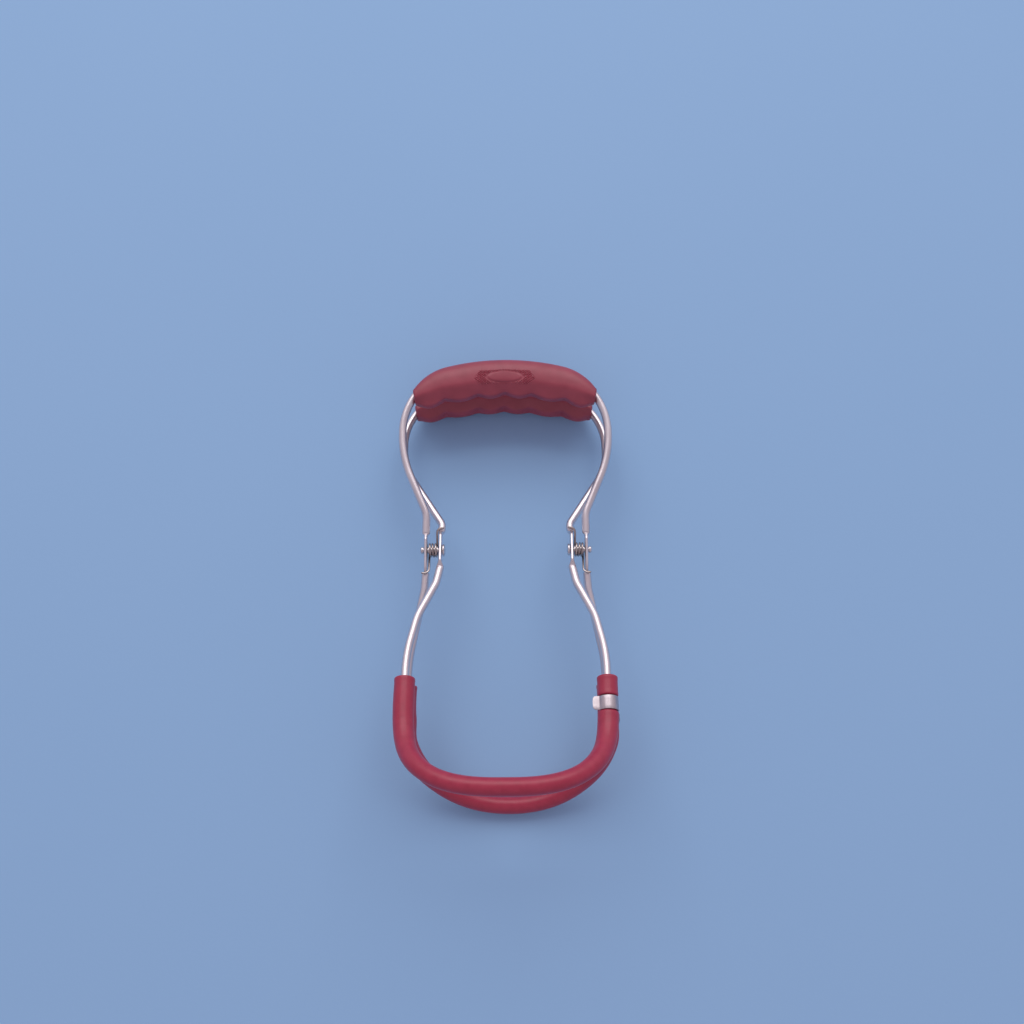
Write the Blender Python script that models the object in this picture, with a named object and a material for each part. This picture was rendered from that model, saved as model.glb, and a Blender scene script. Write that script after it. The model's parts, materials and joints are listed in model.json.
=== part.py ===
"""Spring-opened wire jar lifter, closed and clipped for storage, lying on a table.

Two bent-wire frames cross like scissors at two riveted pivots. The outer frame carries the
upper (front) grip and the lower (back) jaw; the inner frame carries the lower grip and the
upper jaw. Each jaw wears a soft sleeve, each pivot has a torsion spring, and a sheet clip
on the upper jaw's right leg holds the tool shut.

Every frame is drawn flat, as a bending shop would: (x, s) on a sheet, x across the tool and
s from the pivots towards the grip. The jaw end is then folded out of the sheet, and the
sheet is splayed about the pivot axis. The pivot axis is X, through the local origin.
"""
import math

import bmesh
import bpy
from mathutils import Matrix, Vector

MM = 0.001

# The wire and the two frames
WIRE_R = 2.1 * MM
SPLAY = math.radians(7.7)          # each sheet from the middle plane, with the tool shut
HANDLE_HALF = 55.0 * MM            # widest half width of the handle loop
JAW_HALF = 50.2 * MM               # half width between the front jaw's wire centres
BACK_JAW_HALF = 51.4 * MM
JAW_TOP = -81.0 * MM               # where the jaw loop leaves its straight legs
FRONT_JAW = (-134.8 * MM, 2.72, 0.0)     # the loop's middle, superellipse exponent and swell
BACK_JAW = (-135.8 * MM, 2.1, 2.0 * MM)
SWELL_FROM = -86.0 * MM
SWELL_RUN = 14.0 * MM
FOLD_TOP = -90.5 * MM              # where the jaw folds out of the sheet, below the clip
FOLD_R = 36.0 * MM
FOLD_ANGLE = math.radians(34.0)
HANDLE_LEAN = {1: -0.0055, -1: -0.022}   # the handles' sideways slope, outer and inner frame
JAW_LEAN = {1: 0.024, -1: -0.007}        # and the jaws'
HANDLE_LEAN_FROM = 40.0 * MM
JAW_LEAN_FROM = {1: -84.0 * MM, -1: -30.0 * MM}
WIRE_GAP_HALF = 0.6 * MM           # the wire's two ends meet inside the grip
GRIP_WIRE_S = 92.5 * MM            # the wire's straight run inside the grip

# Bends below the grip, as (x, s, bend radius)
HANDLE_BENDS = [(42.7 * MM, GRIP_WIRE_S, 16.0 * MM), (HANDLE_HALF, 75.6 * MM, 36.0 * MM)]
OUTER_WAIST = [(HANDLE_HALF, 50.6 * MM, 58.0 * MM), (41.9 * MM, 19.6 * MM, 14.0 * MM)]
OUTER_LEGS = [(42.6 * MM, -21.0 * MM, 24.0 * MM), (50.0 * MM, -56.0 * MM, 60.0 * MM),
              (BACK_JAW_HALF, -78.0 * MM, 60.0 * MM)]
INNER_WAIST = [(HANDLE_HALF, 49.6 * MM, 40.0 * MM), (33.2 * MM, 14.2 * MM, 5.5 * MM)]
INNER_LEGS = [(36.3 * MM, -19.0 * MM, 14.0 * MM), (45.2 * MM, -37.0 * MM, 34.0 * MM),
              (JAW_HALF, -58.0 * MM, 80.0 * MM)]

# The pressed lugs and the pivots
OUTER_LUG_X = 42.05 * MM
INNER_LUG_X = 34.4 * MM
LUG_HALF_THICK = 0.9 * MM
LUG_HALF_WIDE = 3.5 * MM
OUTER_LUG_ENDS = ((7.6 * MM, 9.0 * MM), (-11.4 * MM, -12.6 * MM))
INNER_LUG_ENDS = ((9.2 * MM, 10.8 * MM), (-6.6 * MM, -10.2 * MM))
LUG_RISE = 3.7 * MM                # the pressed edge spreads over this length
LUG_SQUARENESS = 6.0
LUG_BEND_R = 3.0 * MM
DRILL_HALF = 3.0 * MM
HOLE_R = 1.62 * MM
RIVET_R = 1.3 * MM
SHOULDER_R = 1.95 * MM             # the rivet's thicker middle, which keeps the lugs apart
BIG_HEAD_R = 3.2 * MM
BIG_HEAD_THICK = 1.4 * MM
SMALL_HEAD_R = 1.85 * MM
SMALL_HEAD_THICK = 1.6 * MM
BIG_HEAD_DOME = ((1.0, 0.55), (0.75, 0.85), (0.3, 1.0), (0.0, 1.0))    # share of height, of radius
SMALL_HEAD_DOME = ((0.0, 1.0), (0.55, 1.0), (1.0, 0.6))
GAP = 0.3 * MM                     # left between touching pieces

# The torsion springs
SPRING_R = 0.56 * MM
COIL_R = 3.3 * MM
COIL_TURNS = 3
UPPER_HOOK_S = 11.8 * MM           # how far from the pivot the arms bear on the wires
LOWER_HOOK_S = 12.8 * MM
HOOK_Z = 1.5 * MM
HOOK_BEND = 3.0 * MM
UPPER_HOOK_X = (-2.0 * MM, 0.2 * MM)    # the hook's tip past the lug, and its corner past the coil
LOWER_HOOK_X = (2.1 * MM, -0.2 * MM)

# The jaw sleeves, the clip and its collar
SLEEVE_TOP = -70.1 * MM
SLEEVE_END_R = 5.1 * MM            # snug at its ends, full below them, thin round the jaw
SLEEVE_FULL_R = 5.5 * MM
SLEEVE_MIDDLE_R = 4.4 * MM
SLEEVE_SWELL = 32.0 * MM           # the sleeve is full this far from its end
SLEEVE_TAPER = 0.6                 # share of the half length over which the sleeve thins
BORE_R = 2.46 * MM                 # bore of sleeves and grips over the wire
CLIP_TOP = -80.8 * MM
CLIP_WIDE = 7.2 * MM
NECK_R = 4.25 * MM                 # the sleeve under the clip
CLIP_R = 4.86 * MM                 # the clip sheet's middle radius round the leg
CLIP_SHEET = 0.55 * MM
CLIP_BAND = 1.8 * MM               # width of the two bands that hold the leg
CLIP_SLIT = 0.3 * MM               # between the bands and the finger
CLIP_LIP_ANGLE = math.radians(30.0)     # where the lip leaves the ring
CLIP_BAND_ANGLE = math.radians(296.0)   # where the bands end
CLIP_LIP_U = 7.75 * MM
CLIP_LIP_TAPER = 0.8
CLIP_CRANK_V = (-12.0 * MM, -20.0 * MM)  # the finger steps outwards between these two
CLIP_FINGER_U = -7.1 * MM         # clear of the sleeve behind it
CLIP_FINGER_V = -29.5 * MM

# The grips
GRIP_TOP = 104.2 * MM              # crown of the grip in the middle
CROWN_R = 128.0 * MM
CROWN_HALF = 31.4 * MM             # the crown arc ends here and the shoulder arc starts
SHOULDER_ARC_R = 29.5 * MM
SHOULDER_END = math.radians(56.0)
NOTCHES = ((0.0, 86.9 * MM), (14.3 * MM, 86.0 * MM), (32.2 * MM, 83.4 * MM))
GRIP_HEEL = (46.9 * MM, 80.2 * MM)  # where the end face meets the finger side
FINGER_DROP = {1: 1.1 * MM, -1: -0.7 * MM}   # the front grip is deeper than the back one
FINGER_DEPTH = 2.9 * MM
HEEL_DEPTH = 3.8 * MM
LOBE_POWER = 0.8                   # under 1 makes the lobes fuller
FINGER_STATIONS = 5                # sections per lobe
GRIP_HALF_THICK = 8.0 * MM
GRIP_END_HALF_THICK = 6.3 * MM
GRIP_LAND = 7.3 * MM               # the outer face is flattened at this height
GRIP_SQUARENESS = 2.6
GRIP_END_ROUND = 0.9 * MM
GRIP_END_SHRINK = 1.2              # the end face is smaller than the section by this share of it
GRIP_BORE_S = 70.0 * MM            # the wire's tunnel is cut down to here

TILT_RANGE = (math.radians(-15.0), math.radians(5.0))    # the resting tilt lies between these

WIRE_SIDES = 12
SLEEVE_SIDES = 14
GRIP_SIDES = 20
SPRING_SIDES = 8
TURN_STEP = math.radians(12.0)     # a path gets a new station after turning this much
LONG_STEP = 14.0 * MM


# ---------------------------------------------------------------- scene helpers

def clear_scene():
    for thing in list(bpy.data.objects):
        bpy.data.objects.remove(thing, do_unlink=True)


def make_material(name, colour, roughness, metallic):
    material = bpy.data.materials.new(name)
    material.use_nodes = True
    shader = material.node_tree.nodes["Principled BSDF"]
    shader.inputs["Base Color"].default_value = (*colour, 1.0)
    shader.inputs["Roughness"].default_value = roughness
    shader.inputs["Metallic"].default_value = metallic
    material.diffuse_color = (*colour, 1.0)
    return material


def make_object(name, vertices, faces, material, parent, smooth_angle=40.0):
    mesh = bpy.data.meshes.new(name)
    mesh.from_pydata([tuple(v) for v in vertices], [], faces)
    work = bmesh.new()
    work.from_mesh(mesh)
    bmesh.ops.recalc_face_normals(work, faces=work.faces)
    work.to_mesh(mesh)
    work.free()
    mesh.shade_smooth()
    mesh.set_sharp_from_angle(angle=math.radians(smooth_angle))
    thing = bpy.data.objects.new(name, mesh)
    thing.data.materials.append(material)
    bpy.context.scene.collection.objects.link(thing)
    thing.parent = parent
    return thing


def make_empty(name, parent=None, matrix=None):
    empty = bpy.data.objects.new(name, None)
    empty.empty_display_size = 0.01
    bpy.context.scene.collection.objects.link(empty)
    empty.parent = parent
    if matrix is not None:
        empty.matrix_local = matrix
    return empty


def cut(target, cutter):
    """Take the cutter away from the target, and hide the cutter."""
    cutter.hide_render = True
    cutter.display_type = "WIRE"
    step = target.modifiers.new("cut", "BOOLEAN")
    step.operation = "DIFFERENCE"
    step.solver = "EXACT"
    step.object = cutter


# ---------------------------------------------------------------- sweeping a section

def ring_faces(first, second, sides):
    return [(first + k, first + (k + 1) % sides, second + (k + 1) % sides, second + k)
            for k in range(sides)]


def sweep(stations, sections):
    """A closed solid from one ring per station, with flat ends."""
    sides = len(sections[0])
    vertices = []
    for (point, across, up), section in zip(stations, sections):
        vertices += [point + across * a + up * b for a, b in section]
    faces = []
    for i in range(len(stations) - 1):
        faces += ring_faces(i * sides, (i + 1) * sides, sides)
    faces.append(tuple(reversed(range(sides))))
    last = (len(stations) - 1) * sides
    faces.append(tuple(range(last, last + sides)))
    return vertices, faces


def sweep_tube(stations, outer, inner):
    """A closed tube wall: outer and inner rings at each station, joined at both ends."""
    sides = len(outer[0])
    count = len(stations)
    vertices = []
    for rings in (outer, inner):
        for (point, across, up), section in zip(stations, rings):
            vertices += [point + across * a + up * b for a, b in section]
    bore = count * sides
    faces = []
    for i in range(count - 1):
        faces += ring_faces(i * sides, (i + 1) * sides, sides)
        faces += [tuple(reversed(f))
                  for f in ring_faces(bore + i * sides, bore + (i + 1) * sides, sides)]
    faces += [tuple(reversed(f)) for f in ring_faces(0, bore, sides)]
    last = (count - 1) * sides
    faces += ring_faces(last, bore + last, sides)
    return vertices, faces


def circle(radius, sides):
    turn = 2 * math.pi / sides
    return [(radius * math.cos(turn * (k + 0.5)), radius * math.sin(turn * (k + 0.5)))
            for k in range(sides)]


def superellipse(half_a, half_b, exponent, sides):
    turn = 2 * math.pi / sides
    points = []
    for k in range(sides):
        c = math.cos(turn * (k + 0.5))
        s = math.sin(turn * (k + 0.5))
        points.append((half_a * math.copysign(abs(c) ** (2 / exponent), c),
                       half_b * math.copysign(abs(s) ** (2 / exponent), s)))
    return points


def blend_value(a, b, t):
    return a + (b - a) * t


# ---------------------------------------------------------------- flat frame outlines

def fillet_path(corners):
    """Straight runs through corners of (x, s, bend radius), as points half a millimetre apart."""
    points = [Vector(corners[0][:2])]
    for before, corner, after in zip(corners, corners[1:], corners[2:]):
        here = Vector(corner[:2])
        back = (Vector(before[:2]) - here).normalized()
        ahead = (Vector(after[:2]) - here).normalized()
        half = back.angle(ahead) / 2
        radius = corner[2]
        centre = here + (back + ahead).normalized() * radius / math.sin(half)
        start = here + back * radius / math.tan(half) - centre
        turn = start.angle_signed(here + ahead * radius / math.tan(half) - centre)
        steps = max(2, math.ceil(abs(turn) * radius / (0.5 * MM)))
        for k in range(steps + 1):
            points.append(centre + Matrix.Rotation(-turn * k / steps, 2) @ start)
    points.append(Vector(corners[-1][:2]))
    return points


def jaw_loop(half, bottom, squareness, swell):
    """Half of the flat jaw loop, from the leg to the middle."""
    depth = JAW_TOP - bottom
    power = 2 / squareness
    points = []
    steps = 240
    for k in range(1, steps + 1):
        share = k / steps
        angle = math.pi / 2 * (share ** 2 if share < 0.5 else share)
        s = JAW_TOP - depth * math.sin(angle) ** power
        wide = half + swell * eased((SWELL_FROM - s) / SWELL_RUN)
        points.append(Vector((wide * max(math.cos(angle), 0.0) ** power, s)))
    points[-1] = Vector((0.0, bottom))
    return points


def half_outline(lug_x, lug_ends, waist, legs, jaw):
    """One frame's half outline, from the grip's middle round to the jaw's middle."""
    lug = [(lug_x, round_from, LUG_BEND_R) for _, round_from in lug_ends]
    jaw_half = legs[-1][0]
    corners = [(WIRE_GAP_HALF, GRIP_WIRE_S, 0.0)] + HANDLE_BENDS + waist + lug + legs
    return fillet_path(corners + [(jaw_half, JAW_TOP, 0.0)]) + jaw_loop(jaw_half, *jaw)


# ---------------------------------------------------------------- from sheet to space

def placed(x, s, side):
    """A flat point, folded and splayed, with the sheet's normal. side is 1 on the outer frame."""
    x += HANDLE_LEAN[side] * max(s - HANDLE_LEAN_FROM, 0.0)
    x += JAW_LEAN[side] * max(JAW_LEAN_FROM[side] - s, 0.0)
    if s >= FOLD_TOP:
        y, q, lean = s, 0.0, 0.0
    else:
        lean = min((FOLD_TOP - s) / FOLD_R, FOLD_ANGLE)
        rest = max(FOLD_TOP - s - FOLD_R * FOLD_ANGLE, 0.0)
        y = FOLD_TOP - FOLD_R * math.sin(lean) - rest * math.cos(lean)
        q = -FOLD_R * (1 - math.cos(lean)) - rest * math.sin(lean)
    turn = Matrix.Rotation(SPLAY, 3, "X")
    point = turn @ Vector((x, y, q))
    normal = turn @ Vector((0.0, -math.sin(lean), math.cos(lean)))
    flip = Matrix.Diagonal((1.0, 1.0, side))
    return flip @ point, flip @ normal


class Frame:
    """One wire frame's path, with shared stations for everything that sits on the wire."""

    def __init__(self, outline, side, marks):
        flat = self.with_marks(outline, marks)
        flat += [Vector((-p.x, p.y)) for p in reversed(flat[:-1])]
        self.flat = flat
        self.side = side
        self.points = [placed(p.x, p.y, side) for p in flat]
        self.keep = self.chosen({(round(p.x, 9), round(p.y, 9)) for p in self.marked})

    def with_marks(self, outline, marks):
        """The outline with a point exactly at each marked s below the grip."""
        self.marked = [outline[0], outline[-1]]
        flat = [outline[0]]
        for a, b in zip(outline, outline[1:]):
            for s in sorted((m for m in marks if b.y < m <= a.y and a.x > JAW_HALF / 2),
                            reverse=True):
                t = (a.y - s) / (a.y - b.y)
                point = a.lerp(b, t)
                if (point - flat[-1]).length > 1e-6:
                    flat.append(point)
                self.marked.append(flat[-1])
            if (b - flat[-1]).length > 1e-6:
                flat.append(b)
        self.marked += [Vector((-p.x, p.y)) for p in self.marked]
        return flat

    def chosen(self, marked):
        """The indices of the stations: both ends, the marks, and a point after each turn."""
        keep = [0]
        turned = 0.0
        run = 0.0
        places = [p for p, _ in self.points]
        for i in range(1, len(places) - 1):
            a = places[i] - places[i - 1]
            b = places[i + 1] - places[i]
            turned += a.angle(b)
            run += a.length
            corner = (round(self.flat[i].x, 9), round(self.flat[i].y, 9)) in marked
            if corner or turned >= TURN_STEP or run >= LONG_STEP:
                keep.append(i)
                turned = 0.0
                run = 0.0
        keep.append(len(places) - 1)
        return keep

    def station(self, i):
        last = len(self.points) - 1
        ahead = self.points[min(i + 1, last)][0]
        behind = self.points[max(i - 1, 0)][0]
        along = (ahead - behind).normalized()
        point, normal = self.points[i]
        across = normal.cross(along).normalized()
        return point, across, normal

    def between(self, first, last):
        """The stations of the path where test(first) to test(last) hold, as (index, frame)."""
        return [(i, self.station(i)) for i in self.keep if first <= i <= last]

    def index_at(self, s, right):
        """The path index at a marked s, on the right or left leg."""
        legs = [i for i, p in enumerate(self.flat)
                if (p.x > 0) == right and abs(p.x) > JAW_HALF / 2 and p.y < GRIP_WIRE_S / 2]
        return min(legs, key=lambda i: abs(self.flat[i].y - s))


def eased(t):
    t = min(max(t, 0.0), 1.0)
    return t * t * (3 - 2 * t)


def wire_section(s, lug_ends):
    """Round wire, pressed thin between the lug's shoulders, where its edges spread."""
    past = max((s - pressed) / (round_from - pressed) for pressed, round_from in lug_ends)
    inside = min((round_from - s) * math.copysign(1, round_from) for _, round_from in lug_ends)
    press = 1 - eased(past)
    return superellipse(blend_value(WIRE_R, LUG_HALF_THICK, press),
                        blend_value(WIRE_R, LUG_HALF_WIDE, eased(inside / LUG_RISE)),
                        blend_value(2.0, LUG_SQUARENESS, press), WIRE_SIDES)


def lug_marks(lug_ends):
    """Where the lug's shoulders and spreading edges need stations."""
    marks = []
    for pressed, round_from in lug_ends:
        marks += [blend_value(pressed, round_from, t) for t in (0.0, 0.4, 0.75, 1.0)]
        rise = math.copysign(LUG_RISE, round_from)
        marks += [round_from - rise * t for t in (0.3, 0.65, 1.0)]
    return marks


def build_wire(name, frame, material, parent, lug_x, lug_ends):
    stations = [(i, frame.station(i)) for i in frame.keep]
    wire = make_object(name, *sweep([f for _, f in stations],
                                    [wire_section(frame.flat[i].y, lug_ends)
                                     for i, _ in stations]),
                       material, parent)
    for side in (1, -1):
        drill = lathe(f"{name}_drill_{'right' if side > 0 else 'left'}",
                      [(lug_x - DRILL_HALF, HOLE_R), (lug_x + DRILL_HALF, HOLE_R)],
                      side, material, parent)
        cut(wire, drill)
    return wire


# ---------------------------------------------------------------- pivots

def lathe(name, profile, side, material, parent, sides=20):
    """A turned piece about the pivot axis, from (distance from the middle, radius) pairs."""
    stations = [(Vector((side * x, 0, 0)), Vector((0, 1, 0)), Vector((0, 0, 1)))
                for x, _ in profile]
    return make_object(name, *sweep(stations, [circle(r, sides) for _, r in profile]),
                       material, parent)


def build_rivet(name, side, material, parent):
    face = LUG_HALF_THICK + GAP
    head, tail = INNER_LUG_X - face, OUTER_LUG_X + face
    profile = [(head - BIG_HEAD_THICK * h, BIG_HEAD_R * r) for h, r in BIG_HEAD_DOME]
    profile += [(head, RIVET_R), (INNER_LUG_X + face, RIVET_R), (INNER_LUG_X + face, SHOULDER_R),
                (OUTER_LUG_X - face, SHOULDER_R), (OUTER_LUG_X - face, RIVET_R), (tail, RIVET_R)]
    profile += [(tail + SMALL_HEAD_THICK * h, SMALL_HEAD_R * r) for h, r in SMALL_HEAD_DOME]
    return lathe(name, profile, side, material, parent)


def spring_path():
    """The right-hand spring's centre line: hook, arm, coil, arm, hook."""
    inner_x = INNER_LUG_X + LUG_HALF_THICK + GAP + SPRING_R
    outer_x = OUTER_LUG_X - LUG_HALF_THICK - GAP - SPRING_R
    start = leaving_angle(UPPER_HOOK_S)
    sweep_angle = 2 * math.pi * COIL_TURNS + math.pi + start + leaving_angle(LOWER_HOOK_S)
    steps = 14 * COIL_TURNS
    coil = []
    for k in range(steps + 1):
        share = k / steps
        angle = start - sweep_angle * share
        coil.append(Vector((blend_value(inner_x, outer_x, (share + eased(share)) / 2),
                            COIL_R * math.cos(angle), COIL_R * math.sin(angle))))
    tip, corner = UPPER_HOOK_X
    upper = bent_hook(Vector((INNER_LUG_X + tip, UPPER_HOOK_S, HOOK_Z)),
                      Vector((inner_x + corner, UPPER_HOOK_S, HOOK_Z)), coil[0])
    tip, corner = LOWER_HOOK_X
    lower = bent_hook(Vector((OUTER_LUG_X + tip, -LOWER_HOOK_S, HOOK_Z)),
                      Vector((outer_x + corner, -LOWER_HOOK_S, HOOK_Z)), coil[-1])
    return upper + coil + list(reversed(lower))


def leaving_angle(hook_s):
    """Where an arm that ends at the hook leaves the coil in a straight line."""
    return math.atan2(HOOK_Z, hook_s) - math.acos(COIL_R / math.hypot(hook_s, HOOK_Z))


def bent_hook(tip, corner, end):
    """From a hook's tip round its corner towards the coil, without the coil's own point."""
    back = (tip - corner).normalized()
    ahead = (end - corner).normalized()
    points = [tip]
    for k in range(5):
        t = k / 4
        points.append(corner + back * HOOK_BEND * (1 - t) ** 2 + ahead * HOOK_BEND * t ** 2)
    return points


def carried_frames(points):
    """Frames along any path, carried on without twist."""
    frames = []
    up = Vector((0, 0, 1))
    for i, point in enumerate(points):
        along = points[min(i + 1, len(points) - 1)] - points[max(i - 1, 0)]
        along.normalize()
        up = (up - along * up.dot(along)).normalized()
        frames.append((point, up.cross(along), up.copy()))
    return frames


def build_spring(name, side, material, parent):
    points = [Vector((side * p.x, p.y, p.z)) for p in spring_path()]
    frames = carried_frames(points)
    return make_object(name, *sweep(frames, [circle(SPRING_R, SPRING_SIDES)] * len(frames)),
                       material, parent, smooth_angle=60.0)


# ---------------------------------------------------------------- sleeves and the clip

def sleeve_radius(from_end, half_length):
    """Snug at the sleeve's end, full a little below it, and thinner round the jaw's middle."""
    snug = max(1 - from_end / SLEEVE_SWELL, 0.0)
    thinned = min(max(from_end, 0.0) / half_length / SLEEVE_TAPER, 1.0)
    return (SLEEVE_FULL_R - (SLEEVE_FULL_R - SLEEVE_END_R) * snug ** 2
            - (SLEEVE_FULL_R - SLEEVE_MIDDLE_R) * thinned ** 2 * (3 - thinned) / 2)


def build_sleeve(name, frame, material, parent, right_top, neck=None):
    """A sleeve round the jaw. neck is where a thinner stretch on the right leg ends."""
    first = frame.index_at(right_top, True)
    last = frame.index_at(SLEEVE_TOP, False)
    middle = len(frame.flat) // 2
    lengths = path_lengths(frame)
    half = lengths[last] - lengths[middle]
    neck_end = frame.index_at(neck, True) if neck is not None else first
    stations, outer, inner = [], [], []
    for i, station in frame.between(first, last):
        radius = sleeve_radius(half - abs(lengths[i] - lengths[middle]), half)
        rings = [radius]
        if neck is not None and i < neck_end:
            rings = [NECK_R]
        elif neck is not None and i == neck_end:
            rings = [NECK_R, radius]
        for ring in rings:
            stations.append(station)
            outer.append(circle(ring, SLEEVE_SIDES))
            inner.append(circle(BORE_R, SLEEVE_SIDES))
    if neck is None:
        return make_object(name, *sweep_tube(stations, outer, inner), material, parent)
    return make_object(name, *stepped_tube(stations, outer, inner), material, parent)


def stepped_tube(stations, outer, inner):
    """A tube whose outer wall may step at one station; the bore skips the repeated ring."""
    sides = len(outer[0])
    bore_at = [i for i in range(len(stations))
               if i == 0 or (stations[i][0] - stations[i - 1][0]).length > 1e-7]
    vertices = []
    for (point, across, up), section in zip(stations, outer):
        vertices += [point + across * a + up * b for a, b in section]
    bore = len(vertices)
    for i in bore_at:
        point, across, up = stations[i]
        vertices += [point + across * a + up * b for a, b in inner[i]]
    faces = []
    for i in range(len(stations) - 1):
        faces += ring_faces(i * sides, (i + 1) * sides, sides)
    for i in range(len(bore_at) - 1):
        faces += [tuple(reversed(f))
                  for f in ring_faces(bore + i * sides, bore + (i + 1) * sides, sides)]
    faces += [tuple(reversed(f)) for f in ring_faces(0, bore, sides)]
    last = (len(stations) - 1) * sides
    faces += ring_faces(last, bore + (len(bore_at) - 1) * sides, sides)
    return vertices, faces


def path_lengths(frame):
    lengths = [0.0]
    for (a, _), (b, _) in zip(frame.points, frame.points[1:]):
        lengths.append(lengths[-1] + (b - a).length)
    return lengths


def build_collar(frame, material, parent):
    first = frame.index_at(SLEEVE_TOP, True)
    last = frame.index_at(CLIP_TOP + GAP, True)
    stations = [f for _, f in frame.between(first, last)]
    return make_object("sleeve_collar",
                       *sweep_tube(stations, [circle(SLEEVE_END_R, SLEEVE_SIDES)] * len(stations),
                                   [circle(BORE_R, SLEEVE_SIDES)] * len(stations)),
                       material, parent)


def on_ring(angle):
    return Vector((CLIP_R * math.cos(angle), CLIP_R * math.sin(angle)))


def arc(first, last, steps):
    return [on_ring(blend_value(first, last, k / steps)) for k in range(steps + 1)]


def build_clip(material, parent):
    """Sheet bent round the leg: u towards the tool's inside, v to the front, w along the leg.

    The lip and the front are whole. From the leg's outer side on, two slits part the finger,
    which runs straight back, from the two bands, which go on round the leg.
    """
    root = on_ring(CLIP_LIP_ANGLE)
    whole = [Vector((CLIP_LIP_U, root.y))] + arc(CLIP_LIP_ANGLE, math.pi, 14)
    bands = arc(math.pi, CLIP_BAND_ANGLE, 10)[1:]
    finger = [Vector((-CLIP_R, CLIP_CRANK_V[0])), Vector((CLIP_FINGER_U, CLIP_CRANK_V[1])),
              Vector((CLIP_FINGER_U, CLIP_FINGER_V))]
    half = CLIP_WIDE / 2
    slit = half - CLIP_BAND
    columns = (-half, -slit, CLIP_SLIT - slit, slit - CLIP_SLIT, slit, half)
    vertices = [(whole[0].x, whole[0].y, w * CLIP_LIP_TAPER) for w in columns]
    vertices += [(p.x, p.y, w) for p in whole[1:] for w in columns]
    wide = len(columns)
    faces = [(i * wide + k, i * wide + k + 1, (i + 1) * wide + k + 1, (i + 1) * wide + k)
             for i in range(len(whole) - 1) for k in range(wide - 1)]
    last = (len(whole) - 1) * wide
    for k, line in ((0, bands), (2, finger), (4, bands)):
        left, right = last + k, last + k + 1
        for point in line:
            here = len(vertices)
            vertices += [(point.x, point.y, columns[k]), (point.x, point.y, columns[k + 1])]
            faces.append((left, right, here + 1, here))
            left, right = here, here + 1
    clip = make_object("lock_clip", vertices, faces, material, parent)
    step = clip.modifiers.new("sheet", "SOLIDIFY")
    step.thickness = CLIP_SHEET
    step.offset = 0.0
    step.use_even_offset = True
    return clip


# ---------------------------------------------------------------- grips

def crown(x):
    """The palm side of the grip's outline at x."""
    if x <= CROWN_HALF:
        return GRIP_TOP - CROWN_R + math.sqrt(CROWN_R ** 2 - x ** 2)
    start = math.asin(CROWN_HALF / CROWN_R)
    base = GRIP_TOP - CROWN_R * (1 - math.cos(start))
    angle = math.asin(min(math.sin(start) + (x - CROWN_HALF) / SHOULDER_ARC_R,
                          math.sin(SHOULDER_END)))
    return base - SHOULDER_ARC_R * (math.cos(start) - math.cos(angle))


def shoulder_width():
    start = math.asin(CROWN_HALF / CROWN_R)
    return CROWN_HALF + SHOULDER_ARC_R * (math.sin(SHOULDER_END) - math.sin(start))


def finger_side(x):
    """The scalloped side at x: one round lobe between each two notches."""
    knots = NOTCHES + (GRIP_HEEL,)
    for (x0, s0), (x1, s1) in zip(knots, knots[1:]):
        if x <= x1 + 1e-9:
            t = (x - x0) / (x1 - x0)
            depth = HEEL_DEPTH if (x1, s1) == GRIP_HEEL else FINGER_DEPTH
            return blend_value(s0, s1, t) - depth * math.sin(math.pi * t) ** LOBE_POWER
    return knots[-1][1]


def grip_stations():
    """(finger-side x, palm-side x) from the middle to the end face."""
    knots = [x for x, _ in NOTCHES] + [GRIP_HEEL[0]]
    xs = [0.0]
    for x0, x1 in zip(knots, knots[1:]):
        xs += [blend_value(x0, x1, k / FINGER_STATIONS) for k in range(1, FINGER_STATIONS + 1)]
    last_notch = NOTCHES[-1][0]
    stretch = (shoulder_width() - last_notch) / (GRIP_HEEL[0] - last_notch)
    return [(x, x if x <= last_notch else last_notch + (x - last_notch) * stretch) for x in xs]


def grip_ring(finger_x, palm_x, mirror, side, shrink=0.0):
    """One section of the grip, between its palm edge and its finger edge."""
    palm = Vector((palm_x, crown(palm_x)))
    finger = Vector((finger_x, finger_side(finger_x) - FINGER_DROP[side]))
    middle = (palm + finger) / 2
    arm = (palm - finger) / 2
    outward = Vector((arm.y, -arm.x)).normalized()
    over = max(finger_x - NOTCHES[-1][0], 0.0) / (GRIP_HEEL[0] - NOTCHES[-1][0])
    thick = blend_value(GRIP_HALF_THICK, GRIP_END_HALF_THICK, over * over)
    middle = middle + outward * shrink
    shrink *= GRIP_END_SHRINK
    ring = []
    for a, b in superellipse(1.0, 1.0, GRIP_SQUARENESS, GRIP_SIDES):
        flat = middle + arm * a * (1 - shrink / arm.length)
        height = min((thick - shrink) * b, GRIP_LAND)
        spot, normal = placed(mirror * flat.x, flat.y, side)
        ring.append(spot + normal * height)
    return ring


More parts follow.
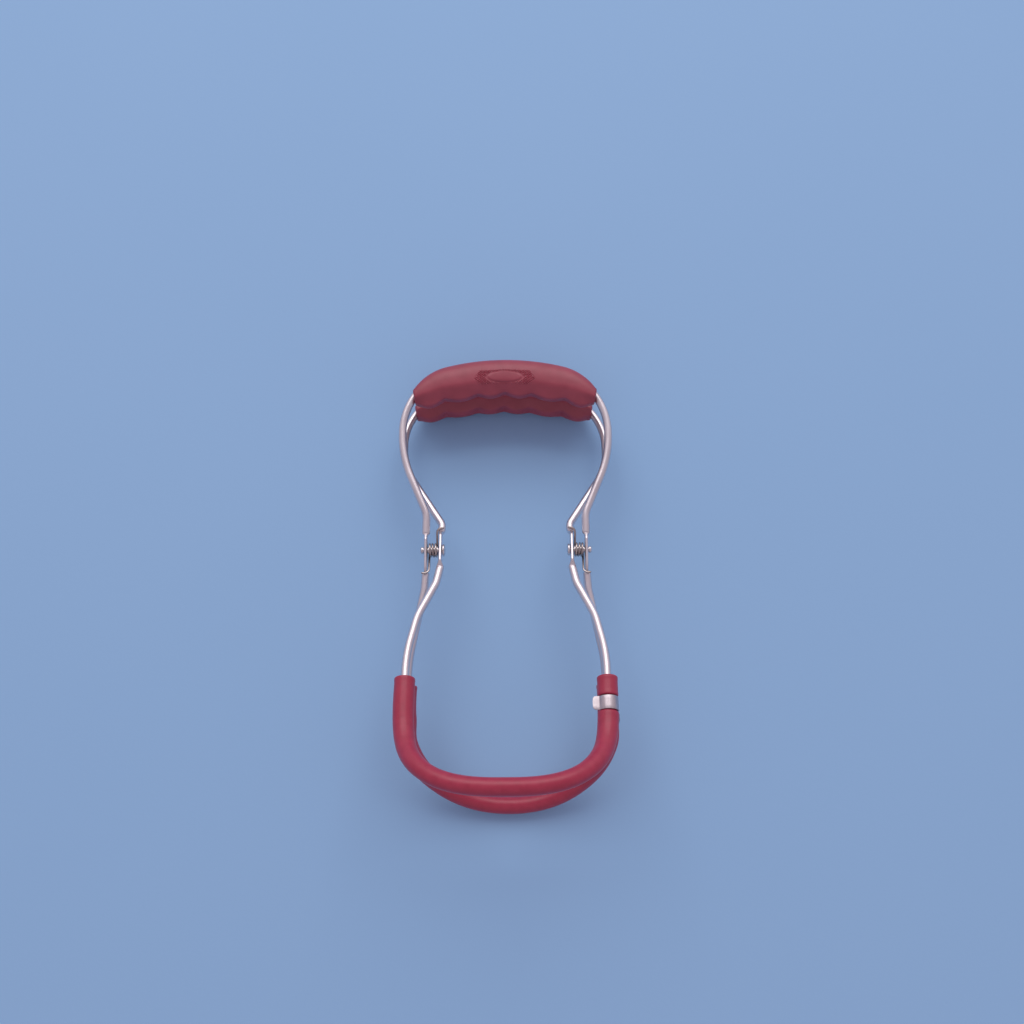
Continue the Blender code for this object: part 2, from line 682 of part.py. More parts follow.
def build_grip(name, frame, material, parent):
    half = grip_stations()
    rings = [grip_ring(*half[-1], -1, frame.side, GRIP_END_ROUND)]
    rings += [grip_ring(f, p, -1, frame.side) for f, p in reversed(half[1:])]
    rings += [grip_ring(f, p, 1, frame.side) for f, p in half]
    rings.append(grip_ring(*half[-1], 1, frame.side, GRIP_END_ROUND))
    vertices = [v for ring in rings for v in ring]
    faces = []
    for i in range(len(rings) - 1):
        faces += ring_faces(i * GRIP_SIDES, (i + 1) * GRIP_SIDES, GRIP_SIDES)
    faces.append(tuple(reversed(range(GRIP_SIDES))))
    last = (len(rings) - 1) * GRIP_SIDES
    faces.append(tuple(range(last, last + GRIP_SIDES)))
    grip = make_object(name, vertices, faces, material, parent)
    middle = len(frame.flat) // 2
    reach = min(i for i in frame.keep if frame.flat[i].y < GRIP_BORE_S)
    right = [frame.station(i) for i in frame.keep if i <= reach]
    left = [frame.station(i) for i in frame.keep if i >= 2 * middle - reach]
    stations = left + right
    bore = make_object(f"{name}_bore", *sweep(stations, [circle(BORE_R, WIRE_SIDES)] * len(stations)),
                       material, parent)
    cut(grip, bore)
    return grip


# ---------------------------------------------------------------- laying it on the table

def world_points(names):
    bpy.context.view_layer.update()
    points = []
    for name in names:
        thing = bpy.data.objects[name]
        points += [thing.matrix_world @ v.co for v in thing.data.vertices]
    return points


def lay_down(rest, nodes):
    """Tilt the tool until the back grip and the back jaw touch the table together."""
    low, high = TILT_RANGE
    for _ in range(40):
        tilt = (low + high) / 2
        rest.matrix_local = Matrix.Rotation(tilt, 4, "X")
        grip = min(p.z for p in world_points(["back_grip"]))
        jaw = min(p.z for p in world_points(["back_jaw_sleeve"]))
        if grip < jaw:
            low = tilt
        else:
            high = tilt
    points = world_points(nodes)
    lift = min(p.z for p in points)
    centre = (min(p.y for p in points) + max(p.y for p in points)) / 2
    rest.matrix_local = Matrix.Translation((0.0, -centre, -lift)) @ Matrix.Rotation(tilt, 4, "X")
    bpy.context.view_layer.update()


def main():
    clear_scene()
    steel = make_material("drawn_steel", (0.62, 0.61, 0.64), 0.32, 1.0)
    rivet_steel = make_material("rivet_steel", (0.66, 0.65, 0.66), 0.25, 1.0)
    spring_steel = make_material("spring_steel", (0.36, 0.33, 0.32), 0.28, 1.0)
    clip_steel = make_material("clip_steel", (0.68, 0.66, 0.67), 0.3, 1.0)
    grip_plastic = make_material("grip_plastic", (0.24, 0.045, 0.065), 0.5, 0.0)
    sleeve_vinyl = make_material("sleeve_vinyl", (0.33, 0.06, 0.09), 0.4, 0.0)

    rest = make_empty("resting_pose")
    hinge = make_empty("main_hinge", rest)
    clip_end = CLIP_TOP - CLIP_WIDE
    marks = [SLEEVE_TOP, CLIP_TOP + GAP, CLIP_TOP, clip_end - GAP]
    outer = Frame(half_outline(OUTER_LUG_X, OUTER_LUG_ENDS, OUTER_WAIST, OUTER_LEGS,
                               BACK_JAW), 1, marks + lug_marks(OUTER_LUG_ENDS))
    inner = Frame(half_outline(INNER_LUG_X, INNER_LUG_ENDS, INNER_WAIST, INNER_LEGS,
                               FRONT_JAW), -1, marks + lug_marks(INNER_LUG_ENDS))

    build_wire("outer_frame_wire", outer, steel, rest, OUTER_LUG_X, OUTER_LUG_ENDS)
    build_wire("inner_frame_wire", inner, steel, hinge, INNER_LUG_X, INNER_LUG_ENDS)
    build_grip("front_grip", outer, grip_plastic, rest)
    build_grip("back_grip", inner, grip_plastic, hinge)
    build_sleeve("back_jaw_sleeve", outer, sleeve_vinyl, rest, SLEEVE_TOP)
    build_sleeve("front_jaw_sleeve", inner, sleeve_vinyl, hinge, CLIP_TOP, clip_end - GAP)
    build_collar(inner, sleeve_vinyl, hinge)
    for side, word in ((1, "right"), (-1, "left")):
        build_rivet(f"{word}_rivet", side, rivet_steel, rest)
        build_spring(f"{word}_torsion_spring", side, spring_steel, rest)

    spot, normal = placed(JAW_HALF, CLIP_TOP - CLIP_WIDE / 2, -1)
    inward = Vector((-1.0, 0.0, 0.0))
    front = normal if normal.z > 0 else -normal
    axes = Matrix((inward, front, inward.cross(front))).transposed().to_4x4()
    pivot = make_empty("clip_pivot", hinge, Matrix.Translation(spot) @ axes)
    build_clip(clip_steel, pivot)

    nodes = [o.name for o in bpy.data.objects if o.type == "MESH" and not o.hide_render]
    lay_down(rest, nodes)


main()
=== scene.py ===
"""The looks of the wire jar lifter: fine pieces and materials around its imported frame.

Every piece follows the same bend tables as the frame: flat outlines in millimetres, x across
the tool and s from the pivots towards the grips. The jaw end is folded out of the sheet, the
sheets are splayed about the pivot axis, and the whole tool rests on its back grip and jaw.
"""

import json
import math

import bmesh
import bpy
import numpy as np
from mathutils import Matrix, Vector, kdtree


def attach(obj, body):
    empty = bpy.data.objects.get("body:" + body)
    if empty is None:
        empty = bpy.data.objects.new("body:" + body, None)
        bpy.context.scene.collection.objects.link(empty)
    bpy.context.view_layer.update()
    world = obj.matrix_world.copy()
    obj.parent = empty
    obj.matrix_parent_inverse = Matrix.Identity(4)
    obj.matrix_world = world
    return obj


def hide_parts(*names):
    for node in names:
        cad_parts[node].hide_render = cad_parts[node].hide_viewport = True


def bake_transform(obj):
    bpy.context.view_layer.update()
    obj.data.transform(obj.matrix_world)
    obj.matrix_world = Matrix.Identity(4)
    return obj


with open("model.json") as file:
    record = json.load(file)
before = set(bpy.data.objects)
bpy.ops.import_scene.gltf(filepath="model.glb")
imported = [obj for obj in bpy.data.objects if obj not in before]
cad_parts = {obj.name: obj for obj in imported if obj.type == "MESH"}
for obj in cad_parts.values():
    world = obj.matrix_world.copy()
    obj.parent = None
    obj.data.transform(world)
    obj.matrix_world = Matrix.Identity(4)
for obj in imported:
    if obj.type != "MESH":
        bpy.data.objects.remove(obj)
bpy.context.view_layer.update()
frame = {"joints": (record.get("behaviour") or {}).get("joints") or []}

MM = 0.001

# The wire frames. Bends are (x, s, bend radius) corners, listed from the grip to the jaw.
# Key 1 is the outer frame, with the front grip and back jaw, and key -1 is the inner frame.
WIRE_R = 2.1
PATH_STEP = 0.25
SPLAY = math.radians(7.7)
HANDLE_HALF = 55.0
JAW_HALF = 50.2
BACK_JAW_HALF = 51.4
JAW_TOP = -81.0
# Each jaw loop: where its bottom lies, its superellipse power, and how far its sides swell
FRONT_JAW = (-134.8, 2.72, 0.0)
BACK_JAW = (-135.8, 2.1, 2.0)
SWELL_FROM = -86.0
SWELL_RUN = 14.0
# The bend that folds the jaw end out of the sheet
FOLD_TOP = -90.5
FOLD_R = 36.0
FOLD_ANGLE = math.radians(34.0)
# How far the handles and jaws lean sideways for each millimetre past where the lean starts
HANDLE_LEAN = {1: -0.0055, -1: -0.022}
JAW_LEAN = {1: 0.024, -1: -0.007}
HANDLE_LEAN_FROM = 40.0
JAW_LEAN_FROM = {1: -84.0, -1: -30.0}
GRIP_WIRE_S = 92.5
HANDLE_BENDS = [(0.6, GRIP_WIRE_S, 0), (42.7, GRIP_WIRE_S, 16), (HANDLE_HALF, 75.6, 36)]
OUTER_WAIST = [(HANDLE_HALF, 50.6, 58), (41.9, 19.6, 14)]
OUTER_LEGS = [(42.6, -21, 24), (50.0, -56, 60), (BACK_JAW_HALF, -78, 60)]
INNER_WAIST = [(HANDLE_HALF, 49.6, 40), (33.2, 14.2, 5.5)]
INNER_LEGS = [(36.3, -19, 14), (45.2, -37, 34), (JAW_HALF, -58, 80)]

# The pressed lugs. Their ends are pairs of s: fully pressed, then round wire again, where a
# crease crosses the wire.
OUTER_LUG_X = 42.05
INNER_LUG_X = 34.4
LUG_HALF_THICK = 0.9
LUG_HALF_WIDE = 3.5
OUTER_LUG_ENDS = ((7.6, 9.0), (-11.4, -12.6))
INNER_LUG_ENDS = ((9.2, 10.8), (-6.6, -10.2))
LUG_RISE = 3.7
LUG_BEND_R = 3.0
LUG_FLATTENING = 1.6
CREASE_DEPTH = 0.35
CREASE_AT = 0.4
CREASE_RUN = 0.35
HOLE_R = 1.62
HOLE_CHAMFER = 0.22

# The rivets. Each head is a dome of some height over an edge, with a flat on top.
RIVET_R = 1.3
RIVET_EDGE = 0.12
RIVET_SHOULDER_R = 1.95
BIG_HEAD_R = 3.2
BIG_HEAD_THICK = 1.4
BIG_HEAD_EDGE = 0.5
BIG_HEAD_FLAT_R = 1.1
SMALL_HEAD_R = 1.85
SMALL_HEAD_THICK = 1.6
SMALL_HEAD_EDGE = 0.8
SMALL_HEAD_FLAT_R = 0.9
DIMPLE_R = 0.62
DIMPLE_FLOOR_R = 0.3
DIMPLE_WALL = 0.21
DIMPLE_DEPTH = 0.35
DIMPLE_AXIS_R = 0.02
AXIS_R = 0.05

# The clearance between neighbouring pieces
GAP = 0.3

# The springs. Each hook's x is its tip, from its lug, and its corner, from its end of the coil.
SPRING_R = 0.56
COIL_R = 3.3
COIL_TURNS = 3
COIL_POINTS = 64
UPPER_HOOK_S = 11.8
LOWER_HOOK_S = 12.8
HOOK_Z = 1.5
HOOK_BEND = 3.0
UPPER_HOOK_X = (-2.0, 0.2)
LOWER_HOOK_X = (2.1, -0.2)

# The sleeves and the collar. A sleeve swells to its full radius over some millimetres from
# its ends, and is thinned again over a share of its half. Its lips and beads are at its ends.
SLEEVE_TOP = -70.1
SLEEVE_END_R = 5.1
SLEEVE_FULL_R = 5.5
SLEEVE_MIDDLE_R = 4.4
SLEEVE_SWELL = 32.0
SLEEVE_TAPER = 0.6
SLEEVE_BORE_R = 2.3
SLEEVE_CHAMFER = 0.3
SLEEVE_LIP_R = 0.8
BEAD_HEIGHT = 0.12
BEAD_WIDE = 1.5
BEAD_RUN = 0.8
COLLAR_BEADS = (0.12, 0.1)
NECK_R = 4.25
NECK_SHOULDER = 0.9

# The clip. It stands clear of the sleeve's shoulders by the play at each edge.
CLIP_TOP = -80.8
CLIP_WIDE = 7.2
CLIP_PLAY = 0.16
CLIP_R = 4.86
CLIP_SHEET = 0.55
CLIP_BAND = 1.8
CLIP_SLIT = 0.3
CLIP_LIP_ANGLE = math.radians(30.0)
CLIP_BAND_ANGLE = math.radians(296.0)
CLIP_LIP_U = 7.75
CLIP_CRANK_V = (-12.0, -20.0)
CLIP_FINGER_U = -7.1
CLIP_FINGER_V = -29.5
CLIP_LIP_CORNER_R = 1.7
CLIP_BAND_CORNER_R = 0.8
CLIP_FINGER_CORNER_R = 1.5
CLIP_EDGE_R = 0.12

# The grips' outline: a crown and two shoulders on the palm side, notches between the fingers.
# Each grip's finger side hangs lower than that by the drop of its frame.
GRIP_TOP = 104.2
CROWN_R = 128.0
CROWN_HALF = 31.4
SHOULDER_ARC_R = 29.5
SHOULDER_END = math.radians(56.0)
NOTCHES = ((0.0, 86.9), (14.3, 86.0), (32.2, 83.4))
GRIP_HEEL = (46.9, 80.2)
FINGER_DROP = {1: 1.1, -1: -0.7}
FINGER_DEPTH = 2.9
HEEL_DEPTH = 3.8
FACE_DEPTH = 1.8
# The finger lobes are sine waves with round valleys, and fade from the parting line outwards
LOBE_POWER = 0.9
VALLEY = 0.3
LOBE_FADE = 0.85
LOBE_FADE_BY = 0.85
LOBE_FROM = 0.3
LOBE_ROUNDING = 1.5

# The grips' section: a superellipse with a slanted finger side, thinner towards the heels
GRIP_HALF_THICK = 7.5
GRIP_END_HALF_THICK = 6.2
GRIP_SQUARENESS = 2.35
FINGER_SLANT = (0.34, 0.98)
SHOULDER_SOFT = 0.1
PARTING_LINE_HEIGHT = 0.1
PARTING_LINE_WIDE = 0.035
GRIP_END_R = 1.5
GRIP_END_SET_IN = 0.25
GRIP_BORE_R = 2.25
GRIP_BORE_FROM = 68.0

# The badge: a sunk panel with slanted ends and knurling round a raised oval. Each edge is
# where it starts and how long it runs, as shares of its outline's size.
BADGE_S = 93.0
BADGE_HALF = (15.6, 3.9)
BADGE_SLANT = 0.22
BADGE_END = 1.1
BADGE_DEPTH = 0.2
BADGE_EDGE = (0.93, 0.09)
OVAL_HALF = (8.8, 2.9)
OVAL_HEIGHT = 0.42
OVAL_EDGE = (0.92, 0.16)
CLEAR_EDGE = (1.14, 0.1)
KNURL_PITCH = 1.5
KNURL_SLANT = 1.2
KNURL_HEIGHT = 0.6

# The view and its light, in metres, with the view's aim measured from the pivots
VIEW_LEAN = math.radians(14.69)
VIEW_ROLL = math.radians(0.35)
VIEW_DISTANCE = 0.620
VIEW_AIM = (0.0032, 0.0210, -0.0019)
VIEW_LENS = 41.13
WINDOW_PLACE = (-0.05, 1.4, 1.5)
WINDOW_SIZE = (2.2, 1.3)
WINDOW_POWER = 15
WINDOW_COLOUR = (1.0, 0.98, 0.97)
ROOM_NEAR_COLOUR = (0.46, 0.40, 0.46)
ROOM_FAR_COLOUR = (0.80, 0.71, 0.78)
ROOM_FAR_FROM = 0.8
FLOOR_HALF = 4.0
FLOOR_BELOW = 0.0002

# The resting pose, from the frame's joints
JOINTS = {j["name"]: j for j in frame["joints"]}
PIVOT = np.array(JOINTS["main_hinge"]["pos_m"])
LEG = JOINTS["clip_swivel"]["axis"]
TILT = SPLAY - math.atan2(LEG[2], -LEG[1])


# ---------------------------------------------------------------- paths

def turn_x(angle):
    c, s = math.cos(angle), math.sin(angle)
    return np.array([[1, 0, 0], [0, c, -s], [0, s, c]])


def fillet_path(corners):
    """Straight runs through (x, s, bend radius) corners, with round bends."""
    points = [Vector(corners[0][:2])]
    for before, corner, after in zip(corners, corners[1:], corners[2:]):
        here = Vector(corner[:2])
        back = (Vector(before[:2]) - here).normalized()
        ahead = (Vector(after[:2]) - here).normalized()
        half = back.angle(ahead) / 2
        radius = corner[2]
        centre = here + (back + ahead).normalized() * radius / math.sin(half)
        start = here + back * radius / math.tan(half) - centre
        turn = start.angle_signed(here + ahead * radius / math.tan(half) - centre)
        steps = max(4, math.ceil(abs(turn) * radius / PATH_STEP))
        for k in range(steps + 1):
            points.append(centre + Matrix.Rotation(-turn * k / steps, 2) @ start)
    points.append(Vector(corners[-1][:2]))
    return [tuple(p) for p in points]


def jaw_loop(half, bottom, squareness, swell):
    """Half of the flat jaw loop: a superellipse, swelled a little, from the leg to the middle."""
    power = 2 / squareness
    # The power stretches the curve at both ends of the quarter turn, so the angles crowd there.
    near = np.linspace(0, math.pi / 2, 500)[1:] ** 2 / (math.pi / 2)
    near = near[near < math.pi / 4]
    angles = np.concatenate([near, math.pi / 2 - near[::-1]])
    s = JAW_TOP - (JAW_TOP - bottom) * np.sin(angles) ** power
    wide = half + swell * eased((SWELL_FROM - s) / SWELL_RUN)
    return list(zip(wide * np.cos(angles) ** power, s)) + [(0.0, bottom)]


def spaced(points, step):
    """The same polyline with evenly spaced points, and the distance of each."""
    points = np.array(points, float)
    lengths = np.concatenate([[0], np.cumsum(np.linalg.norm(np.diff(points, axis=0), axis=1))])
    count = int(lengths[-1] / step) + 2
    at = np.linspace(0, lengths[-1], count)
    return np.stack([np.interp(at, lengths, points[:, k]) for k in range(points.shape[1])], 1), at


def placed(flat, side, height=0.0):
    """Flat millimetre points folded, splayed and laid on the table, with the sheet's normals."""
    x, s = flat[:, 0], flat[:, 1]
    x = x + HANDLE_LEAN[side] * np.maximum(s - HANDLE_LEAN_FROM, 0)
    x += JAW_LEAN[side] * np.maximum(JAW_LEAN_FROM[side] - s, 0)
    lean = np.clip((FOLD_TOP - s) / FOLD_R, 0, FOLD_ANGLE)
    rest = np.maximum(FOLD_TOP - s - FOLD_R * FOLD_ANGLE, 0)
    y = np.where(s >= FOLD_TOP, s, FOLD_TOP - FOLD_R * np.sin(lean) - rest * np.cos(lean))
    q = -FOLD_R * (1 - np.cos(lean)) - rest * np.sin(lean)
    local = np.stack([x, y, q], 1)
    normal = np.stack([0 * x, -np.sin(lean), np.cos(lean)], 1)
    local = local + normal * np.reshape(height, (-1, 1))
    to_row = turn_x(TILT) @ np.diag([1, 1, side]) @ turn_x(SPLAY)
    return PIVOT + local @ to_row.T * MM, normal @ to_row.T


class WirePath:
    """One frame's centre line in the row frame. side is 1 for the outer frame, -1 for the inner."""

    def __init__(self, lug_x, lug_ends, waist, legs, jaw, side):
        lug = [(lug_x, round_from, LUG_BEND_R) for _, round_from in lug_ends]
        jaw_half = legs[-1][0]
        half = fillet_path(HANDLE_BENDS + waist + lug + legs + [(jaw_half, JAW_TOP, 0)])
        half += jaw_loop(jaw_half, *jaw)
        whole = half + [(-x, s) for x, s in reversed(half[:-1])]
        self.flat, self.lengths = spaced(whole, PATH_STEP)
        self.points, self.normals = placed(self.flat, side)
        self.total = self.lengths[-1]

    def at(self, lengths):
        """Points, across and up directions at some distances along the wire."""
        lengths = np.asarray(lengths, float)
        reach = 2 * PATH_STEP
        point = self.between(self.points, lengths)
        along = self.between(self.points, lengths + reach)
        along = along - self.between(self.points, lengths - reach)
        along /= np.linalg.norm(along, axis=1)[:, None]
        up = self.between(self.normals, lengths)
        up /= np.linalg.norm(up, axis=1)[:, None]
        across = np.cross(up, along)
        across /= np.linalg.norm(across, axis=1)[:, None]
        return point, across, up

    def between(self, rows, lengths):
        return np.stack([np.interp(lengths, self.lengths, rows[:, k]) for k in range(3)], 1)

    def s_at(self, lengths):
        return np.interp(lengths, self.lengths, self.flat[:, 1])

    def length_at(self, s, right):
        """How far along the wire the right or left jaw leg reaches s."""
        half = self.total / 2
        rows = (self.lengths < half) == right
        rows &= (np.abs(self.flat[:, 0]) > JAW_HALF / 2) & (self.flat[:, 1] < GRIP_WIRE_S / 2)
        found = np.flatnonzero(rows)
        return self.lengths[found[np.argmin(np.abs(self.flat[found, 1] - s))]]


# ---------------------------------------------------------------- meshes

def make_piece(name, vertices, faces, smooth_angle=35.0):
    """A linked mesh object, with its faces turned outwards and smooth up to the angle."""
    mesh = bpy.data.meshes.new(name)
    mesh.from_pydata(np.asarray(vertices).tolist(), [], faces)
    work = bmesh.new()
    work.from_mesh(mesh)
    bmesh.ops.recalc_face_normals(work, faces=work.faces)
    work.to_mesh(mesh)
    work.free()
    mesh.shade_smooth()
    mesh.set_sharp_from_angle(angle=math.radians(smooth_angle))
    piece = bpy.data.objects.new(name, mesh)
    bpy.context.scene.collection.objects.link(piece)
    return piece


def apply_modifiers(piece, smooth_angle=35.0):
    graph = bpy.context.evaluated_depsgraph_get()
    mesh = bpy.data.meshes.new_from_object(piece.evaluated_get(graph), depsgraph=graph)
    piece.modifiers.clear()
    piece.data = mesh
    mesh.shade_smooth()
    mesh.set_sharp_from_angle(angle=math.radians(smooth_angle))


def cut(piece, cutter):
    step = piece.modifiers.new("cut", "BOOLEAN")
    step.operation = "DIFFERENCE"
    step.solver = "EXACT"
    step.object = cutter
    apply_modifiers(piece)
    bpy.data.objects.remove(cutter)


def grid_faces(rows, sides, closed):
    """Quads between successive rings, and from the last ring to the first if closed."""
    faces = []
    for i in range(rows if closed else rows - 1):
        a, b = i * sides, (i + 1) % rows * sides
        for k in range(sides):
            n = (k + 1) % sides
            faces.append((a + k, a + n, b + n, b + k))
    return faces


def end_caps(rows, sides):
    """The faces that close the first and the last ring of an open sweep."""
    return [tuple(reversed(range(sides))), tuple(range((rows - 1) * sides, rows * sides))]


def swept(name, stations, sections, closed=False, smooth_angle=35.0):
    """A ring of (across, up) millimetres at each station. Open sweeps get flat ends."""
    point, across, up = stations
    sections = np.asarray(sections) * MM
    rings = point[:, None] + across[:, None] * sections[..., :1] + up[:, None] * sections[..., 1:]
    rows, sides = sections.shape[:2]
    faces = grid_faces(rows, sides, closed)
    if not closed:
        faces += end_caps(rows, sides)
    return make_piece(name, rings.reshape(-1, 3), faces, smooth_angle)


def circle(radius, sides):
    turn = np.arange(sides) * 2 * math.pi / sides
    return np.stack([radius * np.cos(turn), radius * np.sin(turn)], 1)


def superellipse(half_a, half_b, exponent, sides):
    turn = (np.arange(sides) + 0.5) * 2 * math.pi / sides
    c, s = np.cos(turn), np.sin(turn)
    return np.stack([half_a * np.sign(c) * np.abs(c) ** (2 / exponent),
                     half_b * np.sign(s) * np.abs(s) ** (2 / exponent)], 1)


def eased(t):
    t = np.clip(t, 0, 1)
    return t * t * (3 - 2 * t)


def set_flow(piece, rows):
    """The piece's own coordinates in metres, as if straightened out, for its material."""
    layer = piece.data.attributes.new("flow", "FLOAT_VECTOR", "POINT")
    layer.data.foreach_set("vector", np.asarray(rows, np.float32).ravel())


def mesh_points(piece):
    return np.array([v.co for v in piece.data.vertices], float)


def nearest(points, places):
    """Which of the points is nearest to each place."""
    tree = kdtree.KDTree(len(points))
    for i, p in enumerate(points):
        tree.insert(p, i)
    tree.balance()
    return np.array([tree.find(p)[1] for p in places])


def flow_along(piece, path):
    """Flow coordinates across, up and along a wire path."""
    lengths = np.arange(0, path.total, 2 * PATH_STEP)
    point, across, up = path.at(lengths)
    places = mesh_points(piece)
    near = nearest(point, places)
    offset = places - point[near]
    along = np.cross(across[near], up[near])
    run = lengths[near] * MM + (offset * along).sum(1)
    set_flow(piece, np.stack([(offset * across[near]).sum(1), (offset * up[near]).sum(1), run], 1))


def finished(piece, body, material, slot, *nodes):
    piece.data.materials.clear()
    piece.data.materials.append(material)
    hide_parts(*nodes)
    if body:
        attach(piece, body)


# ---------------------------------------------------------------- wires, rivets and springs

def lug_section(s, lug_ends, sides=40):
    """Round wire, pressed thin between the lug's shoulders, where its edges spread."""
    past = max((s - pressed) / (round_from - pressed) for pressed, round_from in lug_ends)
    inside = min((round_from - s) * math.copysign(1, round_from) for _, round_from in lug_ends)
    press = 1 - eased(past)
    crease = CREASE_DEPTH * math.exp(-((inside - CREASE_AT) / CREASE_RUN) ** 2)
    half_thick = WIRE_R + (LUG_HALF_THICK - WIRE_R) * press
    half_wide = WIRE_R + (LUG_HALF_WIDE - WIRE_R) * eased(inside / LUG_RISE) - crease
    return superellipse(half_thick, half_wide, 2 + LUG_FLATTENING * press, sides)


def build_wire(name, path, body, material, lug_x, lug_ends):
    """One frame's wire, in close steps near the lugs, with a chamfered hole drilled in each."""
    s = path.s_at(path.lengths)
    margin = 2.0
    near_lug = (s < lug_ends[0][1] + margin) & (s > lug_ends[1][1] - margin)
    keep = near_lug | (np.arange(len(s)) % 4 == 0)
    keep[-1] = True
    lengths = path.lengths[keep]
    sections = [lug_section(v, lug_ends) for v in s[keep]]
    piece = swept(f"{name}_fine", path.at(lengths), sections)
    face_in, face_out = lug_x - LUG_HALF_THICK, lug_x + LUG_HALF_THICK
    past = 1.0
    wide = HOLE_R + past + HOLE_CHAMFER
    profile = [(face_in - past, wide), (face_in + HOLE_CHAMFER, HOLE_R),
               (face_out - HOLE_CHAMFER, HOLE_R), (face_out + past, wide)]
    for side in (1, -1):
        cut(piece, lathe(f"{name}_drill", profile, side))
    flow_along(piece, path)
    finished(piece, body, material, "drawn_steel", name)


def lathe(name, profile, side, sides=48):
    """A piece turned about the pivot axis, from (distance from the middle, radius) pairs."""
    count = len(profile)
    xs = np.array([x for x, _ in profile]) * side * MM
    point = PIVOT + np.stack([xs, 0 * xs, 0 * xs], 1)
    across = np.tile([0.0, 1.0, 0.0], (count, 1))
    up = np.tile([0.0, 0.0, 1.0], (count, 1))
    return swept(name, (point, across, up), [circle(r, sides) for _, r in profile])


def dome(x, radius, height, flat, steps=8):
    """A quarter-ellipse profile from x to x + height, ending in a flat of the last radius."""
    points = []
    for k in range(steps + 1):
        angle = math.pi / 2 * k / steps
        points.append((x + height * math.sin(angle), flat + (radius - flat) * math.cos(angle)))
    return points


def build_rivet(word, side, material):
    """A shouldered rivet: its big head inside the tool, its peened and dimpled head outside."""
    head = INNER_LUG_X - LUG_HALF_THICK - GAP
    tail = OUTER_LUG_X + LUG_HALF_THICK + GAP
    middle = (INNER_LUG_X + LUG_HALF_THICK + GAP, OUTER_LUG_X - LUG_HALF_THICK - GAP)
    edge = RIVET_EDGE
    big = dome(head - BIG_HEAD_EDGE, BIG_HEAD_R, BIG_HEAD_EDGE - BIG_HEAD_THICK, BIG_HEAD_FLAT_R)
    small = dome(tail + SMALL_HEAD_EDGE, SMALL_HEAD_R, SMALL_HEAD_THICK - SMALL_HEAD_EDGE,
                 SMALL_HEAD_FLAT_R)
    profile = [(head - BIG_HEAD_THICK, AXIS_R)] + big[::-1]
    profile += [(head - edge, BIG_HEAD_R), (head, BIG_HEAD_R - edge), (head, RIVET_R),
                (middle[0], RIVET_R), (middle[0], RIVET_SHOULDER_R - edge),
                (middle[0] + edge, RIVET_SHOULDER_R), (middle[1] - edge, RIVET_SHOULDER_R),
                (middle[1], RIVET_SHOULDER_R - edge), (middle[1], RIVET_R), (tail, RIVET_R),
                (tail, SMALL_HEAD_R - edge), (tail + edge, SMALL_HEAD_R)] + small
    top = tail + SMALL_HEAD_THICK
    profile += [(top - DIMPLE_WALL, DIMPLE_R), (top - DIMPLE_DEPTH, DIMPLE_FLOOR_R),
                (top - DIMPLE_DEPTH, DIMPLE_AXIS_R)]
    name = f"{word}_rivet"
    piece = lathe(f"{name}_fine", profile, side)
    places = mesh_points(piece) - PIVOT
    set_flow(piece, places[:, [1, 2, 0]])
    finished(piece, "outer_frame", material, "rivet_steel", name)


def leaving_angle(hook_s):
    """Where an arm that ends at the hook leaves the coil in a straight line."""
    return math.atan2(HOOK_Z, hook_s) - math.acos(COIL_R / math.hypot(hook_s, HOOK_Z))


def spring_line():
    """The right spring's centre line from the upper hook to the lower one, about the pivot."""
    inner_x = INNER_LUG_X + LUG_HALF_THICK + GAP + SPRING_R
    outer_x = OUTER_LUG_X - LUG_HALF_THICK - GAP - SPRING_R
    start = leaving_angle(UPPER_HOOK_S)
    sweep_angle = 2 * math.pi * COIL_TURNS + math.pi + start + leaving_angle(LOWER_HOOK_S)
    share = np.linspace(0, 1, COIL_POINTS * COIL_TURNS)
    angle = start - sweep_angle * share
    coil = np.stack([inner_x + (outer_x - inner_x) * (share + eased(share)) / 2,
                     COIL_R * np.cos(angle), COIL_R * np.sin(angle)], 1)
    tip, corner = UPPER_HOOK_X
    upper = hook((INNER_LUG_X + tip, UPPER_HOOK_S, HOOK_Z),
                 (inner_x + corner, UPPER_HOOK_S, HOOK_Z), coil[0])
    tip, corner = LOWER_HOOK_X
    lower = hook((OUTER_LUG_X + tip, -LOWER_HOOK_S, HOOK_Z),
                 (outer_x + corner, -LOWER_HOOK_S, HOOK_Z), coil[-1])
    return np.concatenate([upper, coil, lower[::-1]])


def hook(tip, corner, end, steps=12):
    """From a hook's tip round its corner, then straight towards the coil."""
    tip, corner, end = (np.array(p, float) for p in (tip, corner, end))
    back = (tip - corner) / np.linalg.norm(tip - corner)
    ahead = (end - corner) / np.linalg.norm(end - corner)
    t = np.linspace(0, 1, steps)[:, None]
    bent = corner + back * HOOK_BEND * (1 - t) ** 2 + ahead * HOOK_BEND * t ** 2
    straight = bent[-1] + (end - bent[-1]) * np.linspace(0, 1, steps)[1:-1, None]
    return np.concatenate([[tip], bent, straight])


def carried_frames(points):
    """Directions across and up along any path, carried on without twist."""
    along = np.gradient(points, axis=0)
    along /= np.linalg.norm(along, axis=1)[:, None]
    up = np.array([0.0, 0.0, 1.0])
    ups = []
    for direction in along:
        up = up - direction * (up @ direction)
        up /= np.linalg.norm(up)
        ups.append(up)
    ups = np.array(ups)
    return np.cross(ups, along), ups


